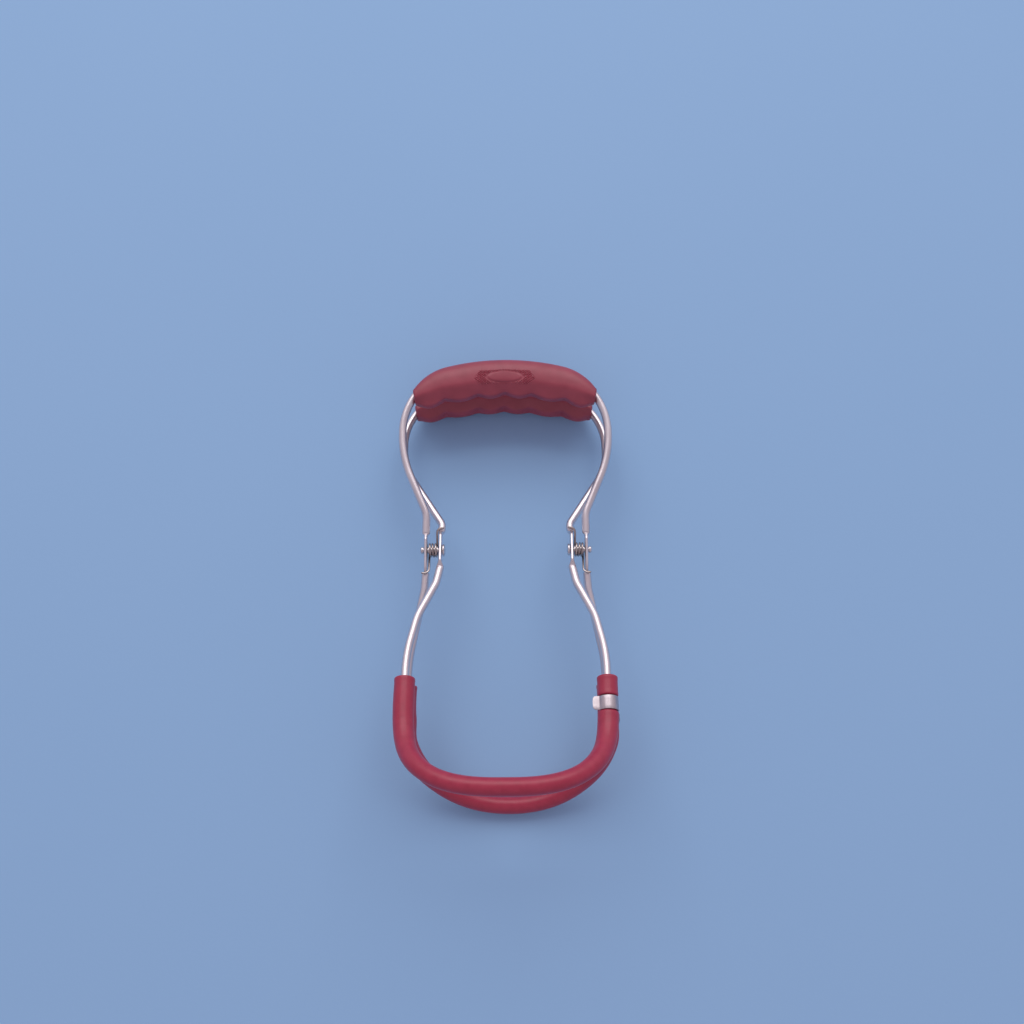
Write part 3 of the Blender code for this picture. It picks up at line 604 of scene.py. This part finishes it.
def build_spring(word, side, material):
    """A torsion spring with round wire ends."""
    step = 0.2
    line, lengths = spaced(spring_line(), step)
    line = line * [side, 1, 1]
    across, up = carried_frames(line)
    to_row = turn_x(TILT)
    stations = (PIVOT + line @ to_row.T * MM, across @ to_row.T, up @ to_row.T)
    from_end = np.minimum(lengths, lengths[-1] - lengths)
    round_end = np.sqrt(np.clip(1 - (1 - from_end / SPRING_R).clip(0) ** 2, 0.02, 1))
    sides = 18
    piece = swept(f"{word}_torsion_spring_fine", stations,
                  [circle(SPRING_R * r, sides) for r in round_end], smooth_angle=70)
    run = np.repeat(lengths * MM, sides)
    ring = np.tile(circle(SPRING_R * MM, sides), (len(lengths), 1))
    set_flow(piece, np.column_stack([ring, run]))
    finished(piece, None, material, "spring_steel", f"{word}_torsion_spring")
    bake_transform(piece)


# ---------------------------------------------------------------- sleeves and clip

def tube_profile(first, last, radius_at, beads):
    """(length, radius) pairs round a sleeve's wall: its outside, then back through its bore."""
    edge = SLEEVE_LIP_R

    def lip(end, toward):
        return [(end + toward * edge * (1 - math.cos(angle)),
                 radius_at(end) - edge * (1 - math.sin(angle)))
                for angle in np.linspace(0, math.pi / 2, 7)]

    step = 0.8
    count = int((last - first) / step)
    wall = np.linspace(first + edge, last - edge, count)[1:-1]
    outside = lip(first, 1) + [(v, radius_at(v)) for v in wall] + lip(last, -1)[::-1]
    beaded = []
    for length, radius in outside:
        for end, height in zip((first, last), beads):
            radius += height * (1 - eased((abs(length - end) - BEAD_WIDE) / BEAD_RUN))
        beaded.append((length, radius))
    bore = np.linspace(last - SLEEVE_CHAMFER, first + SLEEVE_CHAMFER, max(4, count // 4))
    mouth_r = SLEEVE_BORE_R + SLEEVE_CHAMFER
    return beaded + [(last, mouth_r)] + [(v, SLEEVE_BORE_R) for v in bore] + [(first, mouth_r)]


def build_sleeve(name, path, body, material, profile, sides=44):
    """A closed tube along a wire, from the profile of its outside and its bore."""
    lengths = np.array([v for v, _ in profile])
    piece = swept(f"{name}_fine", path.at(lengths), [circle(r, sides) for _, r in profile],
                  closed=True)
    flow_along(piece, path)
    finished(piece, body, material, "sleeve_vinyl", name)


def sleeve_radius(path):
    """The outer radius at a distance along the wire: snug at the ends, thin in the middle."""
    middle = path.total / 2
    half = path.length_at(SLEEVE_TOP, False) - middle

    def radius(length):
        from_end = half - abs(length - middle)
        snug = max(1 - from_end / SLEEVE_SWELL, 0.0)
        thinned = min(max(from_end, 0.0) / half / SLEEVE_TAPER, 1.0)
        return (SLEEVE_FULL_R - (SLEEVE_FULL_R - SLEEVE_END_R) * snug ** 2
                - (SLEEVE_FULL_R - SLEEVE_MIDDLE_R) * thinned ** 2 * (3 - thinned) / 2)
    return radius


def front_profile(path):
    """The upper jaw's sleeve with its thinner neck under the clip."""
    neck_first = path.length_at(CLIP_TOP, True)
    neck_last = neck_first + CLIP_WIDE + GAP
    radius = sleeve_radius(path)
    full = tube_profile(neck_first, path.length_at(SLEEVE_TOP, False), radius, (0.0, BEAD_HEIGHT))
    stepped = []
    for length, r in full:
        if r > NECK_R and length < neck_last + NECK_SHOULDER:
            rise = max(length - neck_last, 0.0) / NECK_SHOULDER
            r = NECK_R + (r - NECK_R) * math.sqrt(max(0.0, 1 - (1 - rise) ** 2))
        stepped.append((length, r))
    return stepped


def on_ring(first, last):
    """Points (u, v) of the clip's round part between two angles."""
    angle = np.linspace(first, last, 60)
    return np.stack([CLIP_R * np.cos(angle), CLIP_R * np.sin(angle)], 1)


def smoothed(points, rounds):
    """The same line with its corners worn round, changed in place."""
    for _ in range(rounds):
        points[1:-1] = (points[:-2] + 2 * points[1:-1] + points[2:]) / 4
    return points


def rounded_end(lengths, radius):
    """How much narrower a strip's half is near its last end, which has round corners."""
    from_end = (lengths[-1] - lengths).clip(0)
    return radius - np.sqrt(np.clip(radius ** 2 - (radius - from_end).clip(0) ** 2, 0, None))


def clip_surface():
    """The sheet's middle surface: u to the tool's inside, v to the front, w along the leg.

    The lip and the front are whole. From the leg's outer side on, two slits part the finger,
    which runs straight back, from the two bands, which go on round the leg.
    """
    step = 0.3
    ring = on_ring(CLIP_LIP_ANGLE, math.pi)
    lip = np.concatenate([[(CLIP_LIP_U, ring[0, 1])], ring])
    whole = smoothed(spaced(lip, step)[0], rounds=5)
    bands = on_ring(math.pi, CLIP_BAND_ANGLE)
    finger = [(-CLIP_R, 0), (-CLIP_R, CLIP_CRANK_V[0]), (CLIP_FINGER_U, CLIP_CRANK_V[1]),
              (CLIP_FINGER_U, CLIP_FINGER_V)]
    half = CLIP_WIDE / 2 - CLIP_PLAY
    slit = half - CLIP_BAND
    # The strips between the columns are a band, a slit, the finger, a slit and the other band.
    columns = np.array([-half, -slit, CLIP_SLIT - slit, slit - CLIP_SLIT, slit, half])
    total = spaced(whole, step)[1][-1]
    narrow = rounded_end(np.linspace(0, total, len(whole)), CLIP_LIP_CORNER_R)[::-1]
    rows = [(u, v, w * (1 - n / half)) for (u, v), n in zip(whole, narrow) for w in columns]
    wide = len(columns)
    faces = [(i * wide + k, i * wide + k + 1, (i + 1) * wide + k + 1, (i + 1) * wide + k)
             for i in range(len(whole) - 1) for k in range(wide - 1)]
    last = (len(whole) - 1) * wide
    strips = ((0, bands, CLIP_BAND_CORNER_R), (2, finger, CLIP_FINGER_CORNER_R),
              (4, bands, CLIP_BAND_CORNER_R))
    for k, outline, corner in strips:
        line, along = spaced(outline, step)
        line = smoothed(line, rounds=8)
        left, right = last + k, last + k + 1
        for (u, v), n in zip(line[1:], rounded_end(along, corner)[1:]):
            here = len(rows)
            rows += [(u, v, columns[k] + n), (u, v, columns[k + 1] - n)]
            faces.append((left, right, here + 1, here))
            left, right = here, here + 1
    return np.array(rows), faces


def build_clip(path, material):
    """Sheet bent round the front jaw's right leg, with its thickness and blunt edges."""
    middle = path.length_at(CLIP_TOP - CLIP_WIDE / 2, True)
    point, _, up = (v[0] for v in path.at([middle]))
    inward = np.array([-1.0, 0.0, 0.0])
    front = up if up[2] > 0 else -up
    axes = np.stack([inward, front, np.cross(inward, front)]) * MM
    surface, faces = clip_surface()
    piece = make_piece("lock_clip_fine", point + surface @ axes, faces)
    sheet = piece.modifiers.new("sheet", "SOLIDIFY")
    sheet.thickness = CLIP_SHEET * MM
    sheet.offset = 0.0
    sheet.use_even_offset = True
    edges = piece.modifiers.new("edges", "BEVEL")
    edges.width = CLIP_EDGE_R * MM
    edges.segments = 2
    edges.angle_limit = math.radians(60)
    apply_modifiers(piece)
    local = (mesh_points(piece) - point) @ axes.T / MM
    round_leg = np.arctan2(local[:, 1], local[:, 0]) * CLIP_R * MM
    set_flow(piece, np.column_stack([round_leg, local[:, 2], local[:, 1] * MM]))
    finished(piece, "clip", material, "clip_steel", "lock_clip")


# ---------------------------------------------------------------- grips

def crown(x):
    """The palm side of the grip's outline at x."""
    start = math.asin(CROWN_HALF / CROWN_R)
    base = GRIP_TOP - CROWN_R * (1 - math.cos(start))
    angle = np.arcsin(np.clip(math.sin(start) + (x - CROWN_HALF) / SHOULDER_ARC_R, -1,
                              math.sin(SHOULDER_END)))
    shoulder = base - SHOULDER_ARC_R * (math.cos(start) - np.cos(angle))
    return np.where(x <= CROWN_HALF, GRIP_TOP - CROWN_R + np.sqrt(CROWN_R ** 2 - x ** 2), shoulder)


def finger_side(x, keep):
    """The finger side at x. keep is 1 on the parting line, and less where the lobes fade."""
    knots = NOTCHES + (GRIP_HEEL,)
    (x0, s0), (x1, s1) = next(pair for pair in zip(knots, knots[1:]) if x <= pair[1][0])
    t = (x - x0) / (x1 - x0)
    heel = x1 == GRIP_HEEL[0]
    wave = math.hypot(math.sin(math.pi * t), VALLEY) - VALLEY
    lobe = (HEEL_DEPTH if heel else FINGER_DEPTH) * wave ** LOBE_POWER
    face = FACE_DEPTH * (1 - t ** 3 if heel else 1)
    return s0 + (s1 - s0) * t - keep * lobe - (1 - keep) * face


def within(distance, edge):
    """1 inside an outline and 0 outside it, with an eased edge."""
    start, run = edge
    return 1 - eased((distance - start) / run)


def relief(x, s):
    """The raised and sunk detail of the grip's outer face, in millimetres."""
    u, v = np.abs(x), s - BADGE_S + x * x / (2 * CROWN_R)
    high = np.abs(v) / BADGE_HALF[1]
    slanted = (u / BADGE_HALF[0] + BADGE_SLANT * high) / (1 + BADGE_SLANT) * BADGE_END
    panel = within(np.maximum(slanted, high), BADGE_EDGE)
    from_oval = np.hypot(u / OVAL_HALF[0], v / OVAL_HALF[1])
    knurled = panel * (1 - within(from_oval, CLEAR_EDGE))
    a = (x + v * KNURL_SLANT) / KNURL_PITCH
    b = (x - v * KNURL_SLANT) / KNURL_PITCH
    knurl = np.abs(np.sin(math.pi * a)) * np.abs(np.sin(math.pi * b))
    oval = within(from_oval, OVAL_EDGE)
    return -BADGE_DEPTH * panel + KNURL_HEIGHT * knurl * knurled + OVAL_HEIGHT * oval


def ring_angles():
    """Angles round the grip's section, close together on the outer face and at the parting line."""
    turn = 0.30
    face = np.linspace(turn, math.pi - turn, 84)
    back = np.linspace(math.pi + turn, 2 * math.pi - turn, 30)
    sides = np.array([0.0, 0.05, 0.10, 0.17, 0.235])
    return np.concatenate([sides, face, math.pi - sides[:0:-1], math.pi + sides,
                           back, 2 * math.pi - sides[:0:-1]])


def soft_least(a, b, radius):
    """The smaller of two values, with a round corner where they cross."""
    near = np.clip(radius - np.abs(a - b), 0, None) / radius
    return np.minimum(a, b) - near ** 2 * radius / 4


def grip_ring(finger_x, palm_x, mirror, side, angles, shrink=0.0, push=0.0):
    """One section of the grip: a crowned face, a full palm side and a slanted finger side."""
    palm = np.array([palm_x, float(crown(np.array(palm_x)))])
    drop = FINGER_DROP[side]
    finger = np.array([finger_x, finger_side(finger_x, 1 - LOBE_FADE) - drop])
    middle, arm = (palm + finger) / 2, (palm - finger) / 2
    length = np.linalg.norm(arm)
    outward = np.array([arm[1], -arm[0]]) / length
    over = max(finger_x - NOTCHES[-1][0], 0.0) / (GRIP_HEEL[0] - NOTCHES[-1][0])
    thick = GRIP_HALF_THICK + (GRIP_END_HALF_THICK - GRIP_HALF_THICK) * over * over
    c, s = np.cos(angles), np.sin(angles)
    power = 2 / GRIP_SQUARENESS
    a = np.sign(c) * np.abs(c) ** power
    level, rise = FINGER_SLANT
    b = soft_least(np.abs(s) ** power, level + rise * (1 + a), SHOULDER_SOFT).clip(0) * np.sign(s)
    line = PARTING_LINE_HEIGHT * np.exp(-(s / PARTING_LINE_WIDE) ** 2)
    flat = middle + outward * push + arm * (a * (length - shrink + line) / length)[:, None]
    keep = 1 - LOBE_FADE * eased(np.abs(b) / LOBE_FADE_BY)
    lobes = np.array([finger_side(finger_x, k) for k in keep]) - drop - finger[1]
    flat[:, 1] += lobes * ((-a - LOBE_FROM).clip(0) / (1 - LOBE_FROM)) ** LOBE_ROUNDING
    height = b * (thick - shrink)
    raised = relief(flat[:, 0] * mirror, flat[:, 1]) * (b > 0.5)
    flat = flat * [mirror, 1]
    row, _ = placed(flat, side, height + raised)
    return row, np.column_stack([flat * MM, (height + raised) * MM])


def build_grip(name, path, side, body, material):
    """Sections from end to end, closest over the badge, with the wire's tunnel cut out."""
    angles = ring_angles()
    badge_step, plain_step = 0.26, 0.6
    knots = [x for x, _ in NOTCHES] + [GRIP_HEEL[0]]
    xs = [0.0]
    for x0, x1 in zip(knots, knots[1:]):
        step = badge_step if x0 < BADGE_HALF[0] else plain_step
        count = int((x1 - x0) / step)
        xs += [x0 + (x1 - x0) * k / count for k in range(1, count + 1)]
    start = math.asin(CROWN_HALF / CROWN_R)
    shoulder = CROWN_HALF + SHOULDER_ARC_R * (math.sin(SHOULDER_END) - math.sin(start))
    last_notch = NOTCHES[-1][0]
    stretch = (shoulder - last_notch) / (GRIP_HEEL[0] - last_notch)
    pairs = [(x, x if x <= last_notch else last_notch + (x - last_notch) * stretch) for x in xs]
    rounding = [(GRIP_END_R * (1 - math.cos(a)), GRIP_END_R * (math.sin(a) - GRIP_END_SET_IN))
                for a in np.linspace(0, math.pi / 2, 8)[1:]]
    rings = []
    for mirror in (-1, 1):
        half = [grip_ring(f, p, mirror, side, angles) for f, p in pairs[0 if mirror > 0 else 1:]]
        half += [grip_ring(*pairs[-1], mirror, side, angles, *r) for r in rounding]
        rings += half[::-1] if mirror < 0 else half
    vertices = np.concatenate([row for row, _ in rings])
    flow = np.concatenate([f for _, f in rings])
    sides = len(angles)
    faces = grid_faces(len(rings), sides, False) + end_caps(len(rings), sides)
    piece = make_piece(f"{name}_fine", vertices, faces, smooth_angle=45)
    in_grip = (path.s_at(path.lengths) > GRIP_BORE_FROM) & (path.lengths < path.total / 2)
    cut_bore(piece, path, path.lengths[in_grip][::4])
    set_flow(piece, flow[nearest(vertices, mesh_points(piece))])
    finished(piece, body, material, "grip_plastic", name)


def cut_bore(piece, path, lengths):
    """Take the wire's tunnel out of the grip, from each end face to the middle."""
    for ends in (lengths, path.total - lengths):
        cutter = swept("bore", path.at(ends), [circle(GRIP_BORE_R, sides=24)] * len(ends))
        cut(piece, cutter)


# ---------------------------------------------------------------- materials

class Finish:
    """A Principled material and the nodes that feed it, in the piece's flow coordinates."""

    def __init__(self, name, roughness, metallic, **sockets):
        self.material = bpy.data.materials.new(name)
        self.material.use_nodes = True
        self.nodes = self.material.node_tree.nodes
        self.links = self.material.node_tree.links
        self.shader = self.nodes["Principled BSDF"]
        self.shader.inputs["Roughness"].default_value = roughness
        self.shader.inputs["Metallic"].default_value = metallic
        for socket, value in sockets.items():
            self.shader.inputs[socket.replace("_", " ")].default_value = value
        flow = self.nodes.new("ShaderNodeAttribute")
        flow.attribute_name = "flow"
        self.flow = flow.outputs["Vector"]

    def put(self, value, socket):
        if isinstance(value, bpy.types.NodeSocket):
            self.links.new(value, socket)
        else:
            socket.default_value = value

    def stretched(self, x, y, z):
        node = self.nodes.new("ShaderNodeVectorMath")
        node.operation = "MULTIPLY"
        self.put(self.flow, node.inputs[0])
        node.inputs[1].default_value = (x, y, z)
        return node.outputs[0]

    def noise(self, vector, scale, detail=3.0, rough=0.55):
        node = self.nodes.new("ShaderNodeTexNoise")
        self.put(vector, node.inputs["Vector"])
        node.inputs["Scale"].default_value = scale
        node.inputs["Detail"].default_value = detail
        node.inputs["Roughness"].default_value = rough
        return node.outputs["Fac"]

    def cells(self, vector, scale):
        node = self.nodes.new("ShaderNodeTexVoronoi")
        self.put(vector, node.inputs["Vector"])
        node.inputs["Scale"].default_value = scale
        return node.outputs["Distance"]

    def ranged(self, value, span, to):
        node = self.nodes.new("ShaderNodeMapRange")
        self.put(value, node.inputs["Value"])
        for socket, number in zip(("From Min", "From Max", "To Min", "To Max"), (*span, *to)):
            node.inputs[socket].default_value = number
        return node.outputs["Result"]

    def math(self, operation, a, b):
        node = self.nodes.new("ShaderNodeMath")
        node.operation = operation
        self.put(a, node.inputs[0])
        self.put(b, node.inputs[1])
        return node.outputs[0]

    def mix(self, share, first, second):
        node = self.nodes.new("ShaderNodeMix")
        node.data_type = "RGBA"
        self.put(share, node.inputs["Factor"])
        for socket, colour in ((node.inputs[6], first), (node.inputs[7], second)):
            self.put((*colour, 1.0) if isinstance(colour, tuple) else colour, socket)
        return node.outputs[2]

    def bump(self, height, distance, strength=1.0, under=None):
        node = self.nodes.new("ShaderNodeBump")
        node.inputs["Strength"].default_value = strength
        node.inputs["Distance"].default_value = distance
        self.put(height, node.inputs["Height"])
        if under is not None:
            self.put(under, node.inputs["Normal"])
        return node.outputs["Normal"]

    def colour(self, value):
        self.put(value, self.shader.inputs["Base Color"])

    def roughness(self, value):
        self.put(value, self.shader.inputs["Roughness"])

    def normal(self, value):
        self.put(value, self.shader.inputs["Normal"])


def drawn_steel():
    """Satin wire with fine lines along it, faint clouding and small handling marks."""
    dull, bright, marked = (0.70, 0.65, 0.67), (0.79, 0.75, 0.77), (0.50, 0.46, 0.48)
    finish = Finish("drawn_steel", roughness=0.3, metallic=1.0)
    lines = finish.noise(finish.stretched(1, 1, 0.02), scale=2600, detail=4)
    clouds = finish.noise(finish.stretched(1, 1, 0.35), scale=140, detail=3)
    marks = finish.noise(finish.stretched(1, 1, 1), scale=900, detail=5, rough=0.7)
    tint = finish.mix(finish.ranged(clouds, (0.35, 0.7), (0, 1)), dull, bright)
    finish.colour(finish.mix(finish.ranged(marks, (0.62, 0.78), (0, 0.5)), tint, marked))
    satin = finish.ranged(lines, (0.3, 0.7), (0.27, 0.38))
    clouded = finish.ranged(clouds, (0.3, 0.7), (-0.03, 0.05))
    finish.roughness(finish.math("ADD", satin, clouded))
    fine = finish.bump(lines, 0.006 * MM)
    finish.normal(finish.bump(marks, 0.004 * MM, under=fine))
    return finish.material


def rivet_steel():
    """Turned and plated steel: faint rings about the axis and small dents."""
    dull, bright = (0.60, 0.57, 0.57), (0.76, 0.74, 0.75)
    finish = Finish("rivet_steel", roughness=0.24, metallic=1.0)
    rings = finish.noise(finish.stretched(0.25, 0.25, 1), scale=3200, detail=3)
    dents = finish.noise(finish.stretched(1, 1, 1), scale=700, detail=3)
    finish.colour(finish.mix(finish.ranged(dents, (0.35, 0.65), (0, 1)), dull, bright))
    finish.roughness(finish.ranged(rings, (0.3, 0.7), (0.18, 0.32)))
    finish.normal(finish.bump(dents, 0.03 * MM, under=finish.bump(rings, 0.006 * MM)))
    return finish.material


def spring_steel():
    """Dark oiled spring wire with bright rubbed streaks along it."""
    oiled, bright = (0.38, 0.33, 0.31), (0.62, 0.57, 0.54)
    finish = Finish("spring_steel", roughness=0.22, metallic=1.0)
    lines = finish.noise(finish.stretched(1, 1, 0.04), scale=2400, detail=4)
    rubbed = finish.noise(finish.stretched(1, 1, 0.3), scale=500, detail=3)
    finish.colour(finish.mix(finish.ranged(rubbed, (0.4, 0.65), (0, 1)), oiled, bright))
    finish.roughness(finish.ranged(lines, (0.3, 0.7), (0.15, 0.28)))
    finish.normal(finish.bump(lines, 0.005 * MM))
    return finish.material


def clip_steel():
    """Brushed sheet: lines along the strip, with fine scuffs across them."""
    dull, bright = (0.50, 0.45, 0.47), (0.60, 0.55, 0.57)
    finish = Finish("clip_steel", roughness=0.3, metallic=1.0)
    brushed = finish.noise(finish.stretched(0.03, 1, 1), scale=3600, detail=5)
    scuffs = finish.noise(finish.stretched(1, 0.2, 1), scale=900, detail=4)
    finish.colour(finish.mix(finish.ranged(scuffs, (0.4, 0.7), (0, 1)), dull, bright))
    finish.roughness(finish.ranged(brushed, (0.3, 0.7), (0.32, 0.48)))
    finish.normal(finish.bump(scuffs, 0.003 * MM, under=finish.bump(brushed, 0.008 * MM)))
    return finish.material


def grip_plastic():
    """Moulded plastic with a fine spark-eroded grain, mottling, and rubbed patches."""
    dark, light, speck = (0.30, 0.040, 0.066), (0.35, 0.052, 0.082), (0.42, 0.12, 0.15)
    finish = Finish("grip_plastic", roughness=0.45, metallic=0.0, Specular_IOR_Level=0.62)
    grain = finish.noise(finish.stretched(1, 1, 1), scale=3000, detail=2, rough=0.5)
    mottle = finish.noise(finish.stretched(1, 1, 1), scale=160, detail=3)
    rubbed = finish.noise(finish.stretched(1, 1, 1), scale=60, detail=2)
    specks = finish.cells(finish.stretched(1, 1, 1), scale=2100)
    tint = finish.mix(finish.ranged(mottle, (0.3, 0.7), (0, 1)), dark, light)
    finish.colour(finish.mix(finish.ranged(specks, (0.06, 0.16), (0.35, 0)), tint, speck))
    satin = finish.ranged(rubbed, (0.35, 0.7), (0.46, 0.37))
    grainy = finish.ranged(grain, (0.3, 0.7), (-0.04, 0.05))
    finish.roughness(finish.math("ADD", satin, grainy))
    finish.normal(finish.bump(mottle, 0.05 * MM, under=finish.bump(grain, 0.03 * MM)))
    return finish.material


def sleeve_vinyl():
    """Soft vinyl tube: faint extrusion lines, a slight ripple and small pale scuffs."""
    dark, light, scuffed = (0.37, 0.026, 0.062), (0.42, 0.034, 0.074), (0.52, 0.12, 0.17)
    finish = Finish("sleeve_vinyl", roughness=0.4, metallic=0.0, Specular_IOR_Level=0.5)
    lines = finish.noise(finish.stretched(1, 1, 0.03), scale=1500, detail=3)
    ripple = finish.noise(finish.stretched(1, 1, 1), scale=260, detail=2)
    scuffs = finish.noise(finish.stretched(1, 1, 0.35), scale=1300, detail=5, rough=0.7)
    tint = finish.mix(finish.ranged(ripple, (0.3, 0.7), (0, 1)), dark, light)
    finish.colour(finish.mix(finish.ranged(scuffs, (0.64, 0.76), (0, 0.4)), tint, scuffed))
    satin = finish.ranged(scuffs, (0.3, 0.7), (0.31, 0.41))
    rippled = finish.ranged(ripple, (0.3, 0.7), (-0.03, 0.03))
    finish.roughness(finish.math("ADD", satin, rippled))
    finish.normal(finish.bump(ripple, 0.08 * MM, under=finish.bump(lines, 0.01 * MM)))
    return finish.material


def floor_paint():
    """Pale blue paint with a faint weave."""
    dark, light = (0.295, 0.515, 0.79), (0.315, 0.535, 0.81)
    finish = Finish("floor_paint", roughness=0.8, metallic=0.0)
    coords = finish.nodes.new("ShaderNodeTexCoord").outputs["Object"]
    weave = finish.noise(coords, scale=700, detail=3)
    broad = finish.noise(coords, scale=3, detail=2)
    finish.colour(finish.mix(broad, dark, light))
    finish.normal(finish.bump(weave, 0.1 * MM, strength=0.3))
    return finish.material


# ---------------------------------------------------------------- stage

def build_floor():
    """A wide plain table top just under the tool."""
    half = FLOOR_HALF
    corners = [(x, y, -FLOOR_BELOW) for x, y in ((-half, -half), (half, -half), (half, half),
                                                 (-half, half))]
    floor = make_piece("floor", corners, [(0, 1, 2, 3)])
    floor.data.materials.append(floor_paint())


def area_light(name, place, target, size, power, colour):
    """A rectangular light that faces its target."""
    data = bpy.data.lights.new(name, "AREA")
    data.shape = "RECTANGLE"
    data.size, data.size_y = size
    data.energy = power
    data.color = colour
    light = bpy.data.objects.new(name, data)
    light.location = place
    light.rotation_euler = (Vector(target) - Vector(place)).to_track_quat("-Z", "Y").to_euler()
    bpy.context.scene.collection.objects.link(light)


def build_lights():
    """A window beyond the grips, in a room that is darker on the jaw's side."""
    area_light("window", WINDOW_PLACE, (0, 0, 0), WINDOW_SIZE, WINDOW_POWER, WINDOW_COLOUR)
    world = bpy.data.worlds.new("room")
    bpy.context.scene.world = world
    world.use_nodes = True
    nodes, links = world.node_tree.nodes, world.node_tree.links
    direction = nodes.new("ShaderNodeSeparateXYZ")
    links.new(nodes.new("ShaderNodeTexCoord").outputs["Generated"], direction.inputs[0])
    ramp = nodes.new("ShaderNodeValToRGB")
    links.new(direction.outputs["Y"], ramp.inputs["Fac"])
    ramp.color_ramp.interpolation = "EASE"
    near, far = ramp.color_ramp.elements
    near.position, near.color = 0.0, (*ROOM_NEAR_COLOUR, 1.0)
    far.position, far.color = ROOM_FAR_FROM, (*ROOM_FAR_COLOUR, 1.0)
    links.new(ramp.outputs["Color"], nodes["Background"].inputs["Color"])


def build_camera():
    """The tool seen from above, a little from the jaw's side."""
    data = bpy.data.cameras.new("camera")
    data.lens = VIEW_LENS
    data.sensor_width = 36.0
    data.clip_start = 0.01
    data.clip_end = 20.0
    camera = bpy.data.objects.new("camera", data)
    back = Vector((0, -math.sin(VIEW_LEAN), math.cos(VIEW_LEAN)))
    camera.location = Vector(PIVOT) + Vector(VIEW_AIM) + back * VIEW_DISTANCE
    turn = Matrix.Rotation(VIEW_LEAN, 3, "X") @ Matrix.Rotation(-VIEW_ROLL, 3, "Z")
    camera.rotation_euler = turn.to_euler()
    bpy.context.scene.collection.objects.link(camera)
    bpy.context.scene.camera = camera


# ---------------------------------------------------------------- the tool

def build_tool():
    """Every visible piece, on the body that carries it."""
    outer = WirePath(OUTER_LUG_X, OUTER_LUG_ENDS, OUTER_WAIST, OUTER_LEGS, BACK_JAW, 1)
    inner = WirePath(INNER_LUG_X, INNER_LUG_ENDS, INNER_WAIST, INNER_LEGS, FRONT_JAW, -1)
    steel, vinyl, plastic = drawn_steel(), sleeve_vinyl(), grip_plastic()
    rivet, spring = rivet_steel(), spring_steel()
    build_wire("outer_frame_wire", outer, "outer_frame", steel, OUTER_LUG_X, OUTER_LUG_ENDS)
    build_wire("inner_frame_wire", inner, "inner_frame", steel, INNER_LUG_X, INNER_LUG_ENDS)
    for side, word in ((1, "right"), (-1, "left")):
        build_rivet(word, side, rivet)
        build_spring(word, side, spring)
    back = tube_profile(outer.length_at(SLEEVE_TOP, True), outer.length_at(SLEEVE_TOP, False),
                        sleeve_radius(outer), (BEAD_HEIGHT, BEAD_HEIGHT))
    build_sleeve("back_jaw_sleeve", outer, "outer_frame", vinyl, back)
    build_sleeve("front_jaw_sleeve", inner, "inner_frame", vinyl, front_profile(inner))
    collar = tube_profile(inner.length_at(SLEEVE_TOP, True), inner.length_at(CLIP_TOP + GAP, True),
                          lambda length: SLEEVE_END_R, COLLAR_BEADS)
    build_sleeve("sleeve_collar", inner, "inner_frame", vinyl, collar)
    build_clip(inner, clip_steel())
    build_grip("front_grip", outer, 1, "outer_frame", plastic)
    build_grip("back_grip", inner, -1, "inner_frame", plastic)


bpy.context.scene.view_settings.view_transform = "Standard"
build_camera()
build_tool()
build_floor()
build_lights()
